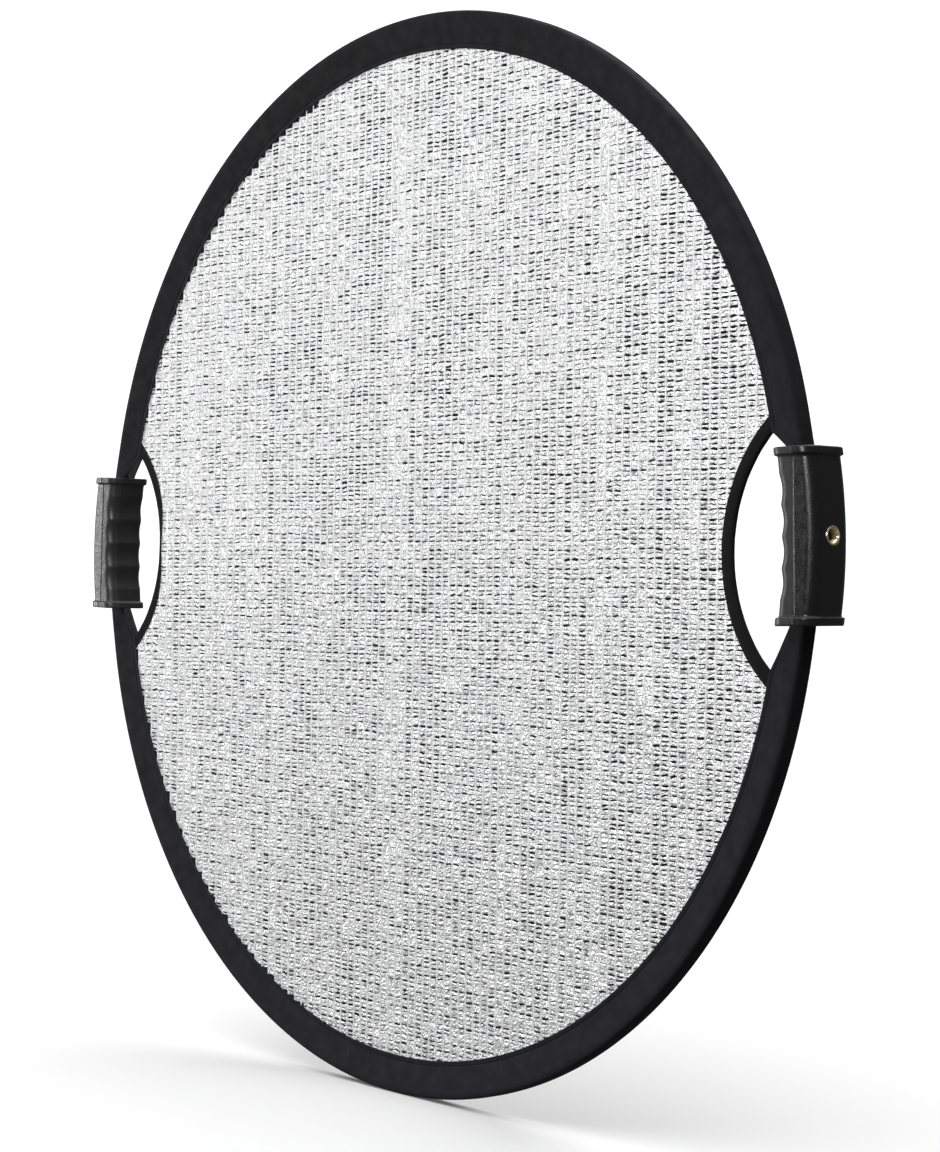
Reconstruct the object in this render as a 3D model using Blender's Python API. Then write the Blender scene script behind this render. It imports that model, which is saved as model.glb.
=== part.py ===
"""Collapsible reflector disc, 80 cm, with two moulded grips on its hoop.

The disc stands upright in the XZ plane with its centre at the world origin, its silver
face towards -Y and its grips at +X and -X. A flat spring-steel band, bent into a hoop,
runs in a black cloth sleeve. A silver net and a black backing cloth are sewn into the
sleeve's inner edge. Beside each grip the two cloths are cut back in a crescent, bound
with tape, so that fingers reach round the grip. The disc is made as a right and a left
half, which turn against each other about the X axis as the hoop twists.
"""

import math

import bmesh
import bpy
from mathutils import Matrix

MM = 0.001

# Disc
DISC_RADIUS = 400.0 * MM            # to the outside of the sleeve
SLEEVE_DEPTH = 27.0 * MM            # sleeve's width, outer edge to seam edge
SLEEVE_DEPTH_AT_GRIP = 12.5 * MM    # what is left of it where it enters a grip
HALF_GAP = 0.3 * MM                 # from the plane x = 0 to either half
FIT = 0.3 * MM                      # gap between pieces that touch
STEP_DEGREES = 4.0                  # facet size along the hoop

# Sleeve section: share of its depth, with its half thickness when wide and when narrow
SLEEVE_SHARES = (0.0, 0.035, 0.15, 0.42, 0.70, 0.87, 1.0)
SLEEVE_WIDE = (4.6 * MM, 5.8 * MM, 6.0 * MM, 4.6 * MM, 2.6 * MM, 1.2 * MM, 1.2 * MM)
SLEEVE_NARROW = (4.6 * MM, 5.8 * MM, 6.0 * MM, 6.0 * MM, 5.9 * MM, 5.5 * MM, 4.4 * MM)

# Spring band, standing on edge in the sleeve's pocket
BAND_RADIUS = DISC_RADIUS - 2.7 * MM    # to the middle of its thickness
BAND_THICKNESS = 1.0 * MM
BAND_HALF_WIDTH = 4.5 * MM
POCKET_HALF_DEPTH = 1.6 * MM
POCKET_HALF_WIDTH = 5.4 * MM
FERRULE_ANGLE = -35.0                   # where the band's two ends meet, in degrees
FERRULE_HALF_LENGTH = 30.0 * MM
FERRULE_WALL = 0.45 * MM
FERRULE_BORE_FIT = 0.25 * MM

# Cloths
CLOTH_RADIUS = DISC_RADIUS - SLEEVE_DEPTH - FIT
CLOTH_THICKNESS = 0.8 * MM
CLOTH_OFFSET = 0.6 * MM                 # from y = 0 to the middle of either cloth

# Crescent finger openings, circles about a point outside the hoop
CRESCENT_CENTRE = 435.0 * MM
CRESCENT_RADIUS = 103.5 * MM            # to the open side of the tape
RIGHT_CRESCENT_TILT = 0.2               # degrees above the disc's mid-line
LEFT_CRESCENT_TILT = 1.3
TAPE_WIDTH = 9.5 * MM
TAPE_FOLD = 1.4 * MM                    # solid fold outside the cloths' cut edge
TAPE_HALF_THICKNESS = 1.9 * MM
TAPE_HALF_SLOT = 1.3 * MM

# Grips. u points out from the disc's centre, v is +Y or -Y, w runs along the hoop.
GRIP_TILT = 1.55                        # degrees above the disc's mid-line
GRIP_RADIUS = 399.0 * MM                # disc's centre to the grip's middle
GRIP_HALF_LENGTH = 56.0 * MM
GRIP_HALF_WIDTH = 15.5 * MM             # along u
GRIP_HALF_DEPTH = 16.8 * MM             # along v
GRIP_CROWN = 1.2 * MM                   # extra bow of the outer face at mid-length
OUTER_CORNER = 7.8 * MM
FINGER_CORNER = 8.5 * MM
FLANGE_HEIGHT = 5.5 * MM
FLANGE_GROWTH = 2.2 * MM
FLANGE_BEVEL = 1.0 * MM
GROOVE_COUNT = 4
GROOVE_PITCH = 20.0 * MM
GROOVE_DEPTH = 1.7 * MM
GROOVE_STEPS = 6
PARTING_U = -1.6 * MM                   # plane between finger shell and outer shell

# Threaded insert for a 3/8 inch stud, in the outer shell
INSERT_OUTER_RADIUS = 6.25 * MM
INSERT_HOLE_RADIUS = 4.7 * MM
INSERT_INNER_U = 3.0 * MM
INSERT_FACE_U = GRIP_HALF_WIDTH + GRIP_CROWN + 0.2 * MM

# Tongues along the finger shell's edges, in grooves of the outer shell: middle, thickness
# and reach past the parting plane. The rear one is thicker, because the screws bite in it.
FRONT_TONGUE = (-11.5 * MM, 1.6 * MM, 3.0 * MM)
REAR_TONGUE = (9.2 * MM, 3.6 * MM, 6.5 * MM)
TONGUE_ROOT = 2.0 * MM              # into the finger shell
TONGUE_HALF_LENGTH = 44.0 * MM

# Screws in the rear face, which pin the outer shell to the finger shell's rear tongue
SCREW_U = 2.2 * MM
SCREW_PLACES = (40.0 * MM, 0.0, -40.0 * MM)
SCREW_SEAT_V = 14.4 * MM
SCREW_TIP_V = 8.2 * MM
SCREW_RADIUS = 1.2 * MM
SCREW_HEAD_RADIUS = 2.2 * MM
SCREW_HEAD_HEIGHT = 1.8 * MM
SCREW_SIDES = 12

FAR = 60.0 * MM                         # reach of a cutter past the piece it cuts


def clear_scene():
    """Remove the objects that are already in the scene."""
    for old in list(bpy.data.objects):
        bpy.data.objects.remove(old, do_unlink=True)


def new_collection(name):
    """Add a collection to the scene."""
    collection = bpy.data.collections.new(name)
    bpy.context.scene.collection.children.link(collection)
    return collection


def principled(name, colour, roughness, metallic=0.0):
    """A plain Principled material."""
    material = bpy.data.materials.new(name)
    material.use_nodes = True
    shader = material.node_tree.nodes["Principled BSDF"]
    shader.inputs["Base Color"].default_value = (*colour, 1.0)
    shader.inputs["Roughness"].default_value = roughness
    shader.inputs["Metallic"].default_value = metallic
    return material


def add_object(name, mesh, collection, material=None, parent=None):
    """Put a mesh in the scene, shaded smooth except at its real edges."""
    thing = bpy.data.objects.new(name, mesh)
    collection.objects.link(thing)
    thing.parent = parent
    if material is not None and not mesh.materials:
        mesh.materials.append(material)
    mesh.shade_smooth()
    mesh.set_sharp_from_angle(angle=math.radians(35.0))
    return thing


def loft(name, rings):
    """A closed mesh through rings of points, capped at both ends."""
    build = bmesh.new()
    rows = [[build.verts.new(point) for point in ring] for ring in rings]
    count = len(rows[0])
    for near, far in zip(rows, rows[1:]):
        for i in range(count):
            j = (i + 1) % count
            build.faces.new((near[i], near[j], far[j], far[i]))
    build.faces.new(rows[0])
    build.faces.new(rows[-1])
    bmesh.ops.recalc_face_normals(build, faces=build.faces)
    mesh = bpy.data.meshes.new(name)
    build.to_mesh(mesh)
    build.free()
    return mesh


def spread(start, end, step):
    """Evenly spaced values from start to end, no further apart than step."""
    count = max(1, math.ceil(abs(end - start) / step - 1e-6))
    return [start + (end - start) * i / count for i in range(count + 1)]


def hoop_ring(section, angle, side=1.0, centre=0.0):
    """A section of (radius, y) points, set at a polar angle about the point (centre, 0, 0)."""
    turn = math.radians(angle)
    return [
        (side * (centre + radius * math.cos(turn)), y, radius * math.sin(turn))
        for radius, y in section
    ]


def rectangle(low_radius, high_radius, half_width):
    """A rectangular hoop section."""
    return [
        (low_radius, -half_width),
        (high_radius, -half_width),
        (high_radius, half_width),
        (low_radius, half_width),
    ]


def cut(target, cutter, name):
    """Subtract a cutter from an object."""
    boolean = target.modifiers.new(name, "BOOLEAN")
    boolean.operation = "DIFFERENCE"
    boolean.object = cutter


def add_cutter(name, mesh, parent=None):
    """A cutter, kept out of renders."""
    cutter = add_object(name, mesh, CUTTERS, parent=parent)
    cutter.hide_render = True
    cutter.display_type = "WIRE"
    return cutter


def cylinder_along_u(name, radius, low_u, high_u, sides):
    """A cylinder mesh about a grip's u axis."""
    build = bmesh.new()
    lie_down = Matrix.Rotation(math.radians(90.0), 4, "Y")
    place = Matrix.Translation(((low_u + high_u) / 2.0, 0.0, 0.0))
    bmesh.ops.create_cone(
        build,
        cap_ends=True,
        segments=sides,
        radius1=radius,
        radius2=radius,
        depth=high_u - low_u,
        matrix=place @ lie_down,
    )
    mesh = bpy.data.meshes.new(name)
    build.to_mesh(mesh)
    build.free()
    return mesh


def box_mesh(name, low, high):
    """A box between two corners."""
    build = bmesh.new()
    centre = [(a + b) / 2.0 for a, b in zip(low, high)]
    size = [b - a for a, b in zip(low, high)]
    place = Matrix.Translation(centre) @ Matrix.Diagonal((*size, 1.0))
    bmesh.ops.create_cube(build, size=1.0, matrix=place)
    mesh = bpy.data.meshes.new(name)
    build.to_mesh(mesh)
    build.free()
    return mesh


# Hoop: sleeve, band and ferrule

def circles_meet(centre, radius, disc_radius):
    """Angle at the disc's centre, in degrees, to where a crescent circle crosses a hoop circle."""
    cosine = (disc_radius**2 + centre**2 - radius**2) / (2.0 * disc_radius * centre)
    return math.degrees(math.acos(cosine))


def grip_ends():
    """Polar angles of the sleeve just past a grip's two ends, below and above it."""
    reach = math.degrees((GRIP_HALF_LENGTH + FIT) / DISC_RADIUS) + 0.2
    return GRIP_TILT - reach, GRIP_TILT + reach


def crescent_tilt(side):
    """How far above the disc's mid-line a side's crescent is, in degrees."""
    return RIGHT_CRESCENT_TILT if side > 0 else LEFT_CRESCENT_TILT


def crescent_corners(side):
    """Polar angles of a crescent's two corners, below and above the grip."""
    reach = circles_meet(CRESCENT_CENTRE, CRESCENT_RADIUS, CLOTH_RADIUS)
    return crescent_tilt(side) - reach, crescent_tilt(side) + reach


def sleeve_section(angle, side):
    """Outline of the sleeve at a polar angle, narrower from the crescent's corners to the grip."""
    low_end, high_end = grip_ends()
    low_corner, high_corner = crescent_corners(side)
    above = (angle - high_end) / (high_corner - high_end)
    below = (angle - low_end) / (low_corner - low_end)
    wide = min(1.0, max(0.0, above, below))
    depth = SLEEVE_DEPTH_AT_GRIP + wide * (SLEEVE_DEPTH - SLEEVE_DEPTH_AT_GRIP)
    front = []
    for share, thick, slim in zip(SLEEVE_SHARES, SLEEVE_WIDE, SLEEVE_NARROW):
        half = slim + wide * (thick - slim)
        front.append((DISC_RADIUS - share * depth, -half))
    back = [(radius, -y) for radius, y in reversed(front)]
    return front + back


def hoop_limit():
    """Polar angle at which a half of the hoop stops, short of the plane x = 0."""
    return 90.0 - math.degrees(HALF_GAP / (DISC_RADIUS - SLEEVE_DEPTH))


def sleeve_angles(side):
    """Polar angles of the sleeve's sections, closer together where its width changes."""
    limit = hoop_limit()
    low_corner, high_corner = crescent_corners(side)
    stops = [-limit, low_corner, *grip_ends(), high_corner, limit]
    angles = [stops[0]]
    for start, end in zip(stops, stops[1:]):
        angles += spread(start, end, STEP_DEGREES)[1:]
    return angles


def build_sleeve(name, side):
    """One half of the cloth sleeve, with the band's pocket along it."""
    rings = [hoop_ring(sleeve_section(a, side), a, side) for a in sleeve_angles(side)]
    sleeve = add_object(name, loft(name, rings), PARTS, SLEEVE_CLOTH)
    pocket = rectangle(
        BAND_RADIUS - POCKET_HALF_DEPTH, BAND_RADIUS + POCKET_HALF_DEPTH, POCKET_HALF_WIDTH
    )
    past = hoop_limit() + 1.0
    pocket_rings = [hoop_ring(pocket, a, side) for a in spread(-past, past, STEP_DEGREES)]
    cut(sleeve, add_cutter(name + "_pocket", loft(name + "_pocket", pocket_rings)), "pocket")


def build_band(name, side, start, end):
    """A stretch of the spring band between two polar angles."""
    section = rectangle(
        BAND_RADIUS - BAND_THICKNESS / 2.0, BAND_RADIUS + BAND_THICKNESS / 2.0, BAND_HALF_WIDTH
    )
    rings = [hoop_ring(section, a, side) for a in spread(start, end, STEP_DEGREES)]
    add_object(name, loft(name, rings), PARTS, SPRING_STEEL)


def build_ferrule(name):
    """The crimped tube that joins the band's ends, its bore open at both ends."""
    bore_depth = BAND_THICKNESS / 2.0 + FERRULE_BORE_FIT
    bore_width = BAND_HALF_WIDTH + FERRULE_BORE_FIT
    outside = rectangle(
        BAND_RADIUS - bore_depth - FERRULE_WALL,
        BAND_RADIUS + bore_depth + FERRULE_WALL,
        bore_width + FERRULE_WALL,
    )
    bore = rectangle(BAND_RADIUS - bore_depth, BAND_RADIUS + bore_depth, bore_width)
    reach = math.degrees(FERRULE_HALF_LENGTH / BAND_RADIUS)
    angles = spread(FERRULE_ANGLE - reach, FERRULE_ANGLE + reach, STEP_DEGREES)
    ferrule = add_object(
        name, loft(name, [hoop_ring(outside, a) for a in angles]), PARTS, FERRULE_METAL
    )
    past = spread(FERRULE_ANGLE - reach - 1.0, FERRULE_ANGLE + reach + 1.0, STEP_DEGREES)
    bore_mesh = loft(name + "_bore", [hoop_ring(bore, a) for a in past])
    cut(ferrule, add_cutter(name + "_bore", bore_mesh), "bore")


# Cloths and the tape on their crescent edges

def side_frame(side, degrees, radius):
    """World matrix at a side of the disc: u out from its centre, v across it, w along the hoop."""
    tilt = Matrix.Rotation(math.radians(-degrees), 4, "Y")
    facing = Matrix.Identity(4) if side > 0 else Matrix.Rotation(math.pi, 4, "Z")
    return facing @ tilt @ Matrix.Translation((radius, 0.0, 0.0))


def cloth_outline(side):
    """Outline (x, z) of half a cloth: the hoop's arc, the crescent and the middle line."""
    radius = CRESCENT_RADIUS + TAPE_FOLD + FIT
    corner = circles_meet(CRESCENT_CENTRE, radius, CLOTH_RADIUS)
    limit = 90.0 - math.degrees(HALF_GAP / CLOTH_RADIUS)
    middle = crescent_tilt(side)
    low = spread(-limit, middle - corner, STEP_DEGREES)
    high = spread(middle + corner, limit, STEP_DEGREES)
    half = math.degrees(math.asin(CLOTH_RADIUS * math.sin(math.radians(corner)) / radius))
    points = [(CLOTH_RADIUS * math.cos(math.radians(a)), CLOTH_RADIUS * math.sin(math.radians(a)))
              for a in low]
    tilt = math.radians(middle)
    for a in spread(180.0 + half, 180.0 - half, 2.0 * STEP_DEGREES)[1:-1]:
        turn = math.radians(a) + tilt
        points.append((
            CRESCENT_CENTRE * math.cos(tilt) + radius * math.cos(turn),
            CRESCENT_CENTRE * math.sin(tilt) + radius * math.sin(turn),
        ))
    points += [(CLOTH_RADIUS * math.cos(math.radians(a)), CLOTH_RADIUS * math.sin(math.radians(a)))
               for a in high]
    return [(side * x, z) for x, z in points]


def build_cloth(name, side, y, material):
    """Half of a cloth: a flat outline, given its thickness."""
    curve = bpy.data.curves.new(name, "CURVE")
    curve.dimensions = "2D"
    curve.fill_mode = "BOTH"
    curve.extrude = CLOTH_THICKNESS / 2.0
    outline = cloth_outline(side)
    spline = curve.splines.new("POLY")
    spline.points.add(len(outline) - 1)
    for point, (x, z) in zip(spline.points, outline):
        point.co = (x, z, 0.0, 1.0)
    spline.use_cyclic_u = True
    curve.materials.append(material)
    cloth = bpy.data.objects.new(name, curve)
    PARTS.objects.link(cloth)
    cloth.location = (0.0, y, 0.0)
    cloth.rotation_euler = (math.radians(90.0), 0.0, 0.0)


def build_tape(name, frame):
    """The folded tape on a crescent edge, open towards the cloths it holds."""
    end_radius = CLOTH_RADIUS - FIT
    cosine = (CRESCENT_CENTRE**2 + CRESCENT_RADIUS**2 - end_radius**2) / (
        2.0 * CRESCENT_CENTRE * CRESCENT_RADIUS)
    reach = math.degrees(math.acos(cosine))
    whole = rectangle(CRESCENT_RADIUS, CRESCENT_RADIUS + TAPE_WIDTH, TAPE_HALF_THICKNESS)
    slot = rectangle(CRESCENT_RADIUS + TAPE_FOLD, CRESCENT_RADIUS + 2.0 * TAPE_WIDTH, TAPE_HALF_SLOT)
    angles = spread(180.0 - reach, 180.0 + reach, STEP_DEGREES)
    tape = add_object(
        name,
        loft(name, [hoop_ring(whole, a) for a in angles]),
        PARTS,
        TAPE_CLOTH,
        frame,
    )
    past = spread(180.0 - reach - 4.0, 180.0 + reach + 4.0, STEP_DEGREES)
    slot_mesh = loft(name + "_slot", [hoop_ring(slot, a) for a in past])
    cut(tape, add_cutter(name + "_slot", slot_mesh, frame), "slot")


# Grips

def hoop_sag(w):
    """How far the hoop falls towards the disc's centre, w along the grip from its middle."""
    return GRIP_RADIUS - math.sqrt(GRIP_RADIUS**2 - w**2)


def groove(w):
    """Depth of the finger grooves, w along the grip."""
    reach = GROOVE_COUNT * GROOVE_PITCH / 2.0
    if abs(w) >= reach:
        return 0.0
    return GROOVE_DEPTH * abs(math.sin(math.pi * (w + reach) / GROOVE_PITCH)) ** 0.8


def corner_arc(centre, radius, start, steps):
    """A quarter circle of (u, v) points from a start angle in degrees."""
    return [
        (
            centre[0] + radius * math.cos(math.radians(start + 90.0 * i / steps)),
            centre[1] + radius * math.sin(math.radians(start + 90.0 * i / steps)),
        )
        for i in range(steps + 1)
    ]


def grip_ring(w, growth):
    """Outline of the grip at w, grown outwards at a flange."""
    along = w / GRIP_HALF_LENGTH
    sag = hoop_sag(w)
    outer = GRIP_HALF_WIDTH - sag + GRIP_CROWN * (1.0 - along**2) + growth
    inner = -GRIP_HALF_WIDTH - sag + groove(w) - growth
    side = GRIP_HALF_DEPTH + growth
    big = FINGER_CORNER + growth
    small = OUTER_CORNER + growth
    points = corner_arc((outer - small, side - small), small, 0.0, 3)
    points += corner_arc((inner + big, side - big), big, 90.0, 4)
    points += corner_arc((inner + big, big - side), big, 180.0, 4)
    points += corner_arc((outer - small, small - side), small, 270.0, 3)
    return [(u, v, w) for u, v in points]


def grip_stations():
    """Places along the grip with the growth of its outline there."""
    flange = GRIP_HALF_LENGTH - FLANGE_HEIGHT
    reach = GROOVE_COUNT * GROOVE_PITCH / 2.0
    ends = [
        (GRIP_HALF_LENGTH, FLANGE_GROWTH - FLANGE_BEVEL),
        (GRIP_HALF_LENGTH - FLANGE_BEVEL, FLANGE_GROWTH),
        (flange + FLANGE_BEVEL, FLANGE_GROWTH),
        (flange, FLANGE_GROWTH - FLANGE_BEVEL),
        (flange - 0.2 * MM, 0.0),
    ]
    grooves = [(w, 0.0) for w in spread(-reach, reach, GROOVE_PITCH / GROOVE_STEPS)]
    return [(-w, growth) for w, growth in ends] + grooves + list(reversed(ends))


def sleeve_channel():
    """Mesh of the curved channel that a grip holds the sleeve in, in the grip's frame."""
    narrow = [(DISC_RADIUS - share * SLEEVE_DEPTH_AT_GRIP, half)
              for share, half in zip(SLEEVE_SHARES, SLEEVE_NARROW)]
    front = [(radius + (FIT if i == 0 else 0.0), -half - FIT)
             for i, (radius, half) in enumerate(narrow)]
    front[-1] = (front[-1][0] - FIT, front[-1][1])
    section = front + [(radius, -y) for radius, y in reversed(front)]
    reach = math.degrees(GRIP_HALF_LENGTH / DISC_RADIUS) + 1.5
    angles = spread(-reach, reach, STEP_DEGREES / 2.0)
    return loft("sleeve_channel", [hoop_ring(section, a, 1.0, -GRIP_RADIUS) for a in angles])


def turned_on_screw_axis(name, profile, rear, w):
    """A mesh turned about a screw's axis. profile is (v, radius), and rear is v's sign."""
    turns = [2.0 * math.pi * i / SCREW_SIDES for i in range(SCREW_SIDES)]
    rings = []
    for v, radius in profile:
        rings.append([
            (SCREW_U + radius * math.cos(turn), rear * v, w + radius * math.sin(turn))
            for turn in turns
        ])
    return loft(name, rings)


def screw_mesh(rear, w):
    """One pan-head screw, from its tip to its head."""
    seat = SCREW_SEAT_V + FIT
    profile = (
        (SCREW_TIP_V, 0.4 * SCREW_RADIUS),
        (SCREW_TIP_V + 1.5 * SCREW_RADIUS, SCREW_RADIUS),
        (seat, SCREW_RADIUS),
        (seat, SCREW_HEAD_RADIUS),
        (seat + 0.6 * SCREW_HEAD_HEIGHT, SCREW_HEAD_RADIUS),
        (seat + SCREW_HEAD_HEIGHT, 0.6 * SCREW_HEAD_RADIUS),
    )
    return turned_on_screw_axis("screw", profile, rear, w)


def screw_hole_mesh(name, start, radius, rear, w):
    """A round hole about a screw's axis, from a depth start out through the rear face."""
    profile = ((start, radius + FIT), (FAR, radius + FIT))
    return turned_on_screw_axis(name, profile, rear, w)


def build_insert(name, frame):
    """The brass bush with the stud's hole through it."""
    insert = add_object(
        name,
        cylinder_along_u(name, INSERT_OUTER_RADIUS, INSERT_INNER_U, INSERT_FACE_U, 24),
        PARTS,
        BRASS,
        frame,
    )
    hole = cylinder_along_u(name + "_hole", INSERT_HOLE_RADIUS, -FAR, FAR, 24)
    cut(insert, add_cutter(name + "_hole", hole, frame), "hole")


def build_tongue(name, finger, outer, frame, rear, tongue):
    """Join a tongue to the finger shell and cut its groove in the outer shell."""
    middle, thickness, reach = tongue
    low = (PARTING_U - TONGUE_ROOT, rear * middle - thickness / 2.0, -TONGUE_HALF_LENGTH)
    high = (PARTING_U + reach, rear * middle + thickness / 2.0, TONGUE_HALF_LENGTH)
    solid = add_cutter(name, box_mesh("tongue", low, high), frame)
    join = finger.modifiers.new("tongue", "BOOLEAN")
    join.operation = "UNION"
    join.object = solid
    wide_low = [value - FIT for value in low]
    wide_high = [value + FIT for value in high]
    slot = add_cutter(name + "_slot", box_mesh("slot", wide_low, wide_high), frame)
    cut(outer, slot, "tongue slot")


def build_grip(prefix, frame, rear):
    """Finger shell, outer shell, insert and screws of one grip. rear is v's sign at the back."""
    body = loft("grip_body", [grip_ring(w, growth) for w, growth in grip_stations()])
    finger = add_object(prefix + "_finger_shell", body, PARTS, GRIP_PLASTIC, frame)
    outer = add_object(prefix + "_outer_shell", body, PARTS, GRIP_PLASTIC, frame)

    keep_finger = PARTING_U - FIT / 2.0
    keep_outer = PARTING_U + FIT / 2.0
    beyond = box_mesh("outer_side", (keep_finger, -FAR, -2.0 * FAR), (FAR, FAR, 2.0 * FAR))
    within = box_mesh("finger_side", (-FAR, -FAR, -2.0 * FAR), (keep_outer, FAR, 2.0 * FAR))
    cut(finger, add_cutter(prefix + "_outer_side", beyond, frame), "parting")
    cut(outer, add_cutter(prefix + "_finger_side", within, frame), "parting")

    channel = add_cutter(prefix + "_channel", sleeve_channel(), frame)
    cut(finger, channel, "channel")
    cut(outer, channel, "channel")
    build_tongue(prefix + "_front_tongue", finger, outer, frame, rear, FRONT_TONGUE)
    build_tongue(prefix + "_rear_tongue", finger, outer, frame, rear, REAR_TONGUE)

    bore = cylinder_along_u("insert_bore", INSERT_OUTER_RADIUS + FIT, INSERT_INNER_U - FIT, FAR, 24)
    cut(outer, add_cutter(prefix + "_insert_bore", bore, frame), "insert bore")
    build_insert(prefix + "_thread_insert", frame)

    for number, w in enumerate(SCREW_PLACES, start=1):
        label = f"{prefix}_screw_{number}"
        hole = screw_hole_mesh("hole", SCREW_TIP_V - FIT, SCREW_RADIUS, rear, w)
        well = screw_hole_mesh("well", SCREW_SEAT_V, SCREW_HEAD_RADIUS, rear, w)
        hole_cutter = add_cutter(label + "_hole", hole, frame)
        cut(finger, hole_cutter, "screw hole")
        cut(outer, hole_cutter, "screw hole")
        cut(outer, add_cutter(label + "_well", well, frame), "screw well")
        add_object(label, screw_mesh(rear, w), PARTS, SCREW_STEEL, frame)


def add_frame(name, matrix):
    """An empty that the pieces of one side are placed by."""
    frame = bpy.data.objects.new(name, None)
    PARTS.objects.link(frame)
    frame.matrix_world = matrix
    return frame


def build_half(prefix, side):
    """Everything on one side of the plane x = 0 but the band."""
    grip = add_frame(prefix + "_grip_frame", side_frame(side, GRIP_TILT, GRIP_RADIUS))
    crescent = add_frame(
        prefix + "_crescent_frame", side_frame(side, crescent_tilt(side), CRESCENT_CENTRE))
    build_sleeve(prefix + "_rim_sleeve", side)
    build_cloth(prefix + "_silver_net", side, -CLOTH_OFFSET, SILVER_NET)
    build_cloth(prefix + "_backing_cloth", side, CLOTH_OFFSET, BACKING_CLOTH)
    build_tape(prefix + "_crescent_tape", crescent)
    build_grip(prefix + "_grip", grip, side)


clear_scene()
PARTS = new_collection("collapsible_reflector_disc")
CUTTERS = new_collection("cutters")

SILVER_NET = principled("silver_net", (0.72, 0.72, 0.73), 0.35, 0.8)
BACKING_CLOTH = principled("backing_cloth", (0.03, 0.03, 0.032), 0.9)
SLEEVE_CLOTH = principled("sleeve_cloth", (0.028, 0.028, 0.031), 0.8)
TAPE_CLOTH = principled("tape_cloth", (0.02, 0.019, 0.02), 0.85)
GRIP_PLASTIC = principled("grip_plastic", (0.03, 0.03, 0.031), 0.5)
BRASS = principled("brass", (0.62, 0.48, 0.27), 0.3, 1.0)
SPRING_STEEL = principled("spring_steel", (0.45, 0.45, 0.46), 0.35, 1.0)
FERRULE_METAL = principled("ferrule_metal", (0.6, 0.6, 0.6), 0.4, 1.0)
SCREW_STEEL = principled("screw_steel", (0.05, 0.05, 0.05), 0.45, 1.0)

build_half("right", 1.0)
build_half("left", -1.0)

END_GAP = math.degrees(FIT / BAND_RADIUS)
build_band("right_spring_band_long", 1.0, FERRULE_ANGLE + END_GAP, hoop_limit())
build_band("right_spring_band_short", 1.0, -hoop_limit(), FERRULE_ANGLE - END_GAP)
build_band("left_spring_band", -1.0, -hoop_limit(), hoop_limit())
build_ferrule("band_ferrule")
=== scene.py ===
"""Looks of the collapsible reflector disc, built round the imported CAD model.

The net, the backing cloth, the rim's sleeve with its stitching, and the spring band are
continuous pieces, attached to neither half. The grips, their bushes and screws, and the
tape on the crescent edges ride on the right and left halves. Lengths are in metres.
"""

import math

import bmesh
import bpy
import numpy as np
from mathutils import Matrix, Vector, noise


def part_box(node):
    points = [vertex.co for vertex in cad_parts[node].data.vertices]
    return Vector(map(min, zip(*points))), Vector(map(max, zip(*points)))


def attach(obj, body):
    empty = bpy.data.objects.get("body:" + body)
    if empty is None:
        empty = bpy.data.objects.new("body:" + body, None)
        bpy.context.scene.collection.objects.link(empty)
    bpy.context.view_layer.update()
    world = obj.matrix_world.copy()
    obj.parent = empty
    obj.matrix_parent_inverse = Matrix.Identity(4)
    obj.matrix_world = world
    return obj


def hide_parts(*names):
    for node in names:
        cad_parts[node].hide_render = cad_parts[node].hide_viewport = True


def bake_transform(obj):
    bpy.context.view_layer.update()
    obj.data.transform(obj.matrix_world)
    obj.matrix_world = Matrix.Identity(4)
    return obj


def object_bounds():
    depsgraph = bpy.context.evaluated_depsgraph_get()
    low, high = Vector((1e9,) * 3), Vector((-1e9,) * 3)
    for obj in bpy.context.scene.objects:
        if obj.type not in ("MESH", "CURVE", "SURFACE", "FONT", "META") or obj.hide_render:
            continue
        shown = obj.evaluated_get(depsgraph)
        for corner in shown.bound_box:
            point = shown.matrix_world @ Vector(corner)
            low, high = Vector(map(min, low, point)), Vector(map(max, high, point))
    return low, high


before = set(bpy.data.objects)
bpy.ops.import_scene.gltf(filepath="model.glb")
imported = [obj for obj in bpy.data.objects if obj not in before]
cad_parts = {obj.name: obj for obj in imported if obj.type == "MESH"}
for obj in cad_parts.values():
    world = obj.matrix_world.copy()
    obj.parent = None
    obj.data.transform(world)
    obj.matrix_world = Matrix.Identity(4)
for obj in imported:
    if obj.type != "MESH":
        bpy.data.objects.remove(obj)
cad_low, cad_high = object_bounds()

MM = 0.001

# Disc, as in the CAD
HOOP_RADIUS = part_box("right_rim_sleeve")[1].z
SLEEVE_DEPTH = 27.0 * MM
SLEEVE_DEPTH_AT_GRIP = 12.5 * MM
LIP_RADIUS = HOOP_RADIUS - SLEEVE_DEPTH
BAND_RADIUS = HOOP_RADIUS - 2.7 * MM
BAND_HALF_THICKNESS = 0.5 * MM
BAND_HALF_WIDTH = 4.5 * MM
BAND_EDGE = 0.2 * MM
CRESCENT_CENTRE = 435.0 * MM
CRESCENT_RADIUS = 103.5 * MM
TAPE_WIDTH = 9.5 * MM
RIGHT_CRESCENT_TILT = math.radians(0.2)
LEFT_CRESCENT_TILT = math.radians(1.3)
GRIP_TILT = math.radians(1.55)
GRIP_RADIUS = 399.0 * MM
GRIP_HALF_LENGTH = 56.0 * MM

random = np.random.default_rng(7)


# Meshes

def grid_faces(rows, columns, close_rows=False, close_columns=False):
    """Four-cornered faces of a grid of points, row by row."""
    index = np.arange(rows * columns).reshape(rows, columns)
    if close_rows:
        index = np.vstack([index, index[:1]])
    if close_columns:
        index = np.hstack([index, index[:, :1]])
    corners = (index[:-1, :-1], index[1:, :-1], index[1:, 1:], index[:-1, 1:])
    return np.stack([corner.ravel() for corner in corners], axis=1)


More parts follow.
